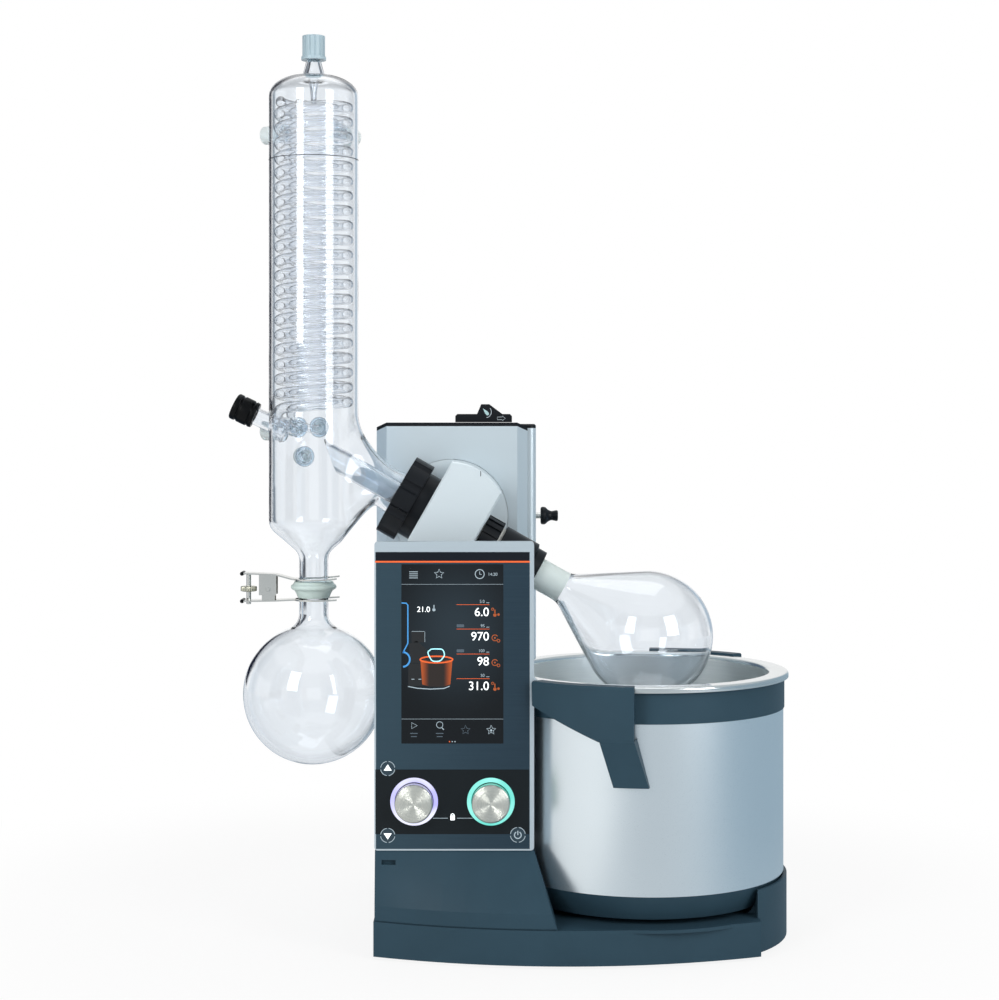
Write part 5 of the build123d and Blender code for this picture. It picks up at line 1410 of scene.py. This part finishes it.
def ring_light():
    """Two lit rings in one finish: lilac left of the panel's middle and teal right of it, hotter in places."""
    f = Finish("ring_light")
    x, y, z = f.parts(f.place())
    parting = -0.049  # between the two knobs
    right_side = x > parting
    hot = f.noise(26, 1)
    lilac = f.blend(f.ramp(hot, 0.42, 0.62), tone(176, 168, 250), tone(236, 234, 255))
    teal = f.blend(f.ramp(hot, 0.42, 0.62), tone(52, 214, 192), tone(126, 240, 222))
    return f.surface(
        f.add(
            "BsdfPrincipled",
            sockets={
                "Base Color": tone(120, 130, 140),
                "Roughness": 0.3,
                "Emission Color": f.blend(right_side, lilac, teal),
                "Emission Strength": 0.95,
            },
        )
    )


ring_glow = ring_light()
print("knobs and light rings made")

# %% [markdown]
# The housings keep their solids. Each gets its finish by name, and anything left over stops the script.

# %% Finishes of the machine's own solids
finishes = {
    silver: "pedestal_housing column_housing column_cover head_shell",
    silver_drum: "tilt_drum",
    frame_silver: "panel_frame",
    jacket_silver: "bath_jacket",
    slate: "base_shell console bath_band bath_foot bath_handles rear_box",
    coal: "head_cap column_cap tilt_slider union_nut coupling_spigot clamp_ring clamp_sleeve clamp_button "
    "stop_knob side_cap mains_inlet",
    cap_grey: "top_cap",
    port_milk: "port_caps",
    clear: "condenser_jacket condenser_coil vapour_tube evaporating_flask receiving_flask",
    front_gloss: "panel_glass",
    screen_black: "display_module",
    board_green: "control_board",
    steel: "knob_left knob_right knob_shaft_left knob_shaft_right depth_stop clip_upper_jaw clip_lower_jaw "
    "clip_nut drive_bearings base_plate bath_pot motor_rotor",
    rod_steel: "guide_rods actuator_rod",
    cast: "lift_carriage actuator_tube end_shield tilt_bearing bath_heater motor_stator",
    polymer: "carriage_bushes shaft_seal hollow_shaft",
    ring_glow: "light_rings",
    ring_milk: "joint_ring",
    rubber: "rubber_feet",
}
finish_of = {name: finish for finish, names in finishes.items() for name in names.split()}
assert set(finish_of) == set(node), set(finish_of) ^ set(node)
for name, made in node.items():
    made.data.materials.clear()
    made.data.materials.append(finish_of[name])
print("finishes on", len(finish_of), "solids")

# %% [markdown]
# Glassware is photographed in a white tent with dark cards at the sides of the background. The cards stay out of
# the picture, but the edges of the glass bend them into view and so draw themselves. The surround does the same:
# white, with upright dark strips to the left of each main direction and paler ones to the right. Metal mirrors a
# studio with a bright front left and darker sides. The kind of ray tells which of the two a surface is shown.

# %% What glass and metal see
card_dark = tone(16, 23, 42)
card_pale = tone(176, 192, 206)
dark_strip = (0.17, 0.22, 0.42, 0.48)  # in quarters of a turn: where it rises and where it falls
pale_strip = (0.54, 0.60, 0.78, 0.84)
studio_front = tone(196, 204, 210)
studio_bright = tone(246, 248, 249)
studio_left = tone(92, 110, 130)
studio_right = tone(158, 180, 195)
studio_above = tone(206, 213, 218)


def seen_directly(finish):
    """1 for rays from the camera, a mirror or glass, 0 for the soft light of lamps and walls."""
    rays = finish.add("LightPath").socket.node
    eye, glossy, through = (
        Wire(finish, rays.outputs[name]) for name in ("Is Camera Ray", "Is Glossy Ray", "Is Transmission Ray")
    )
    return eye.maths("MAXIMUM", eye.maths("MAXIMUM", eye, glossy), through)


def by_glass(finish):
    """One for a ray that has passed through glass or come off its clean skin."""
    passed = finish.add("LightPath", out="Is Transmission Ray")
    return passed.maths("MAXIMUM", passed, finish.add("LightPath", out="Is Singular Ray"))


def tent(finish, x, y, strength=1.0):
    """What glass sees in a level direction: white, with a dark strip left of each quarter and a pale one right."""
    angle = x.maths("ARCTAN2", x * -1, y) / (pi / 2)
    quarter = x.maths("WRAP", angle, 1.0)
    quarter.socket.node.inputs[2].default_value = 0.0  # the wrapped range starts at 0
    left = finish.band(quarter, *dark_strip)
    right = finish.band(quarter, *pale_strip)
    through = by_glass(finish) * strength
    pale = finish.blend(right * through, (1, 1, 1, 1), card_pale)
    return finish.blend(left * through, pale, card_dark)


def studio(finish, x, y, z):
    """What metal mirrors: a bright front left, a softer front, a blue-grey right, a dark left, a white back."""
    turn = x.maths("ARCTAN2", x, y * -1) / pi
    glow = finish.blend(finish.ramp(turn * -1, 0.02, 0.14), studio_front, studio_bright)
    glow = finish.blend(finish.ramp(turn * -1, 0.40, 0.58), glow, studio_left)
    glow = finish.blend(finish.ramp(turn, 0.10, 0.42), glow, studio_right)
    behind = finish.ramp((turn * turn) ** 0.5, 0.86, 0.94)
    glow = finish.blend(behind, glow, (1, 1, 1, 1))
    return finish.blend(finish.ramp(z, 0.35, 0.75), glow, studio_above)


def mirrored(finish):
    """One for a ray that a glossy skin other than glass sends back."""
    return finish.add("LightPath", out="Is Glossy Ray") * (1 - by_glass(finish))


print("dark cards", np.round(card_dark[:3], 3), "pale cards", np.round(card_pale[:3], 3))

# %% [markdown]
# The floor is one large sheet. To the eye it is pure white with a faint shadow near the machine. Glass sees the
# strips only on its far part, or they would lie across the picture's foot, and near by a reflection in glass
# finds it grey.

# %% Floor
floor_half = 12.0
shadow_near, shadow_far, shadow_share = 0.35, 0.75, 0.14
strip_near, strip_far = 3.0, 4.5
floor_on_glass = tone(128, 150, 170)
paper = Finish("paper")
far = paper.add("VectorMath", {"operation": "LENGTH"}, {0: paper.place()}, out="Value")
x, y, z = paper.parts(paper.place())
share = seen_directly(paper) * (1 - shadow_share * (1 - paper.ramp(far, shadow_near, shadow_far)))
matte = paper.add("BsdfDiffuse", sockets={"Color": (0.9, 0.9, 0.9, 1)})
seen = tent(paper, x, y, paper.ramp(far, strip_near, strip_far))
off_glass = paper.add("LightPath", out="Is Singular Ray") * (1 - paper.add("LightPath", out="Is Transmission Ray"))
seen = paper.blend(off_glass * (1 - paper.ramp(far, strip_near, strip_far)), seen, floor_on_glass)
seen = paper.blend(mirrored(paper), seen, studio(paper, x, y, z))
white = paper.add("Emission", sockets={"Color": seen, "Strength": 1.0})
paper_finish = paper.surface(paper.add("MixShader", sockets={0: share, 1: matte, 2: white}))
corners = floor_half * np.array([[-1, -1, 0], [1, -1, 0], [1, 1, 0], [-1, 1, 0.0]])
floor_mesh = bpy.data.meshes.new("floor")
floor_mesh.from_pydata(corners.tolist(), [], [(0, 1, 2, 3)])
floor = bpy.data.objects.new("floor", floor_mesh)
floor_mesh.materials.append(paper_finish)
bpy.context.scene.collection.objects.link(floor)
print("floor", 2 * floor_half, "m wide")

# %% [markdown]
# The world round the machine carries the same strips, fading out overhead, and one dark card higher up that draws
# the rims of domes and flasks. What isn't seen directly is an even, dim light.

# %% Surround
brow_share, brow_rise = 0.6, (0.24, 0.32, 0.6, 0.7)
room_light = (0.5, 0.5, 0.5, 1)
surround = Finish("surround", bpy.data.worlds.new("surround"))
bpy.context.scene.world = surround.owner
x, y, z = surround.parts(surround.add("TexCoord", out="Generated"))
strips = tent(surround, x, y, 1 - surround.ramp(z, 0.45, 0.75))
brow = surround.band(z, *brow_rise) * brow_share
strips = surround.blend(brow * by_glass(surround), strips, card_dark)
glow = surround.blend(mirrored(surround), strips, studio(surround, x, y, z))
glow = surround.blend(seen_directly(surround), room_light, glow)
surround.surface(surround.add("Background", sockets={"Color": glow, "Strength": 1.0}))
print("surround with a share of", brow_share, "for the card above")

# %% [markdown]
# Three large soft lamps do the rest: one at the left front, one at the right front, and a weak one overhead. Large
# lamps give soft shadows and broad highlights. Light passes many glass walls, so the bounces are set high.

# %% Lamps


def lamp(name, place, aim, power, size):
    """A soft rectangular lamp that points at a place."""
    light = bpy.data.lights.new(name, "AREA")
    light.energy = power
    light.shape = "RECTANGLE"
    light.size, light.size_y = size
    made = bpy.data.objects.new(name, light)
    bpy.context.scene.collection.objects.link(made)
    made.location = place
    direction = Vector(aim) - Vector(place)
    made.rotation_euler = direction.to_track_quat("-Z", "Y").to_euler()


lamp("key", (-1.2, -1.8, 1.2), (0, 0, 0.35), 19, (0.7, 1.2))
lamp("fill", (1.4, -1.5, 1.0), (0, 0, 0.35), 18, (0.8, 1.2))
lamp("top", (0.1, 0.3, 2.2), (0, 0, 0.3), 6, (1.2, 1.2))

scene = bpy.context.scene
scene.view_settings.view_transform = "Standard"
scene.cycles.max_bounces = 40
scene.cycles.transmission_bounces = 40
scene.cycles.transparent_max_bounces = 40
scene.cycles.glossy_bounces = 8
print("lamps", len(bpy.data.lights))
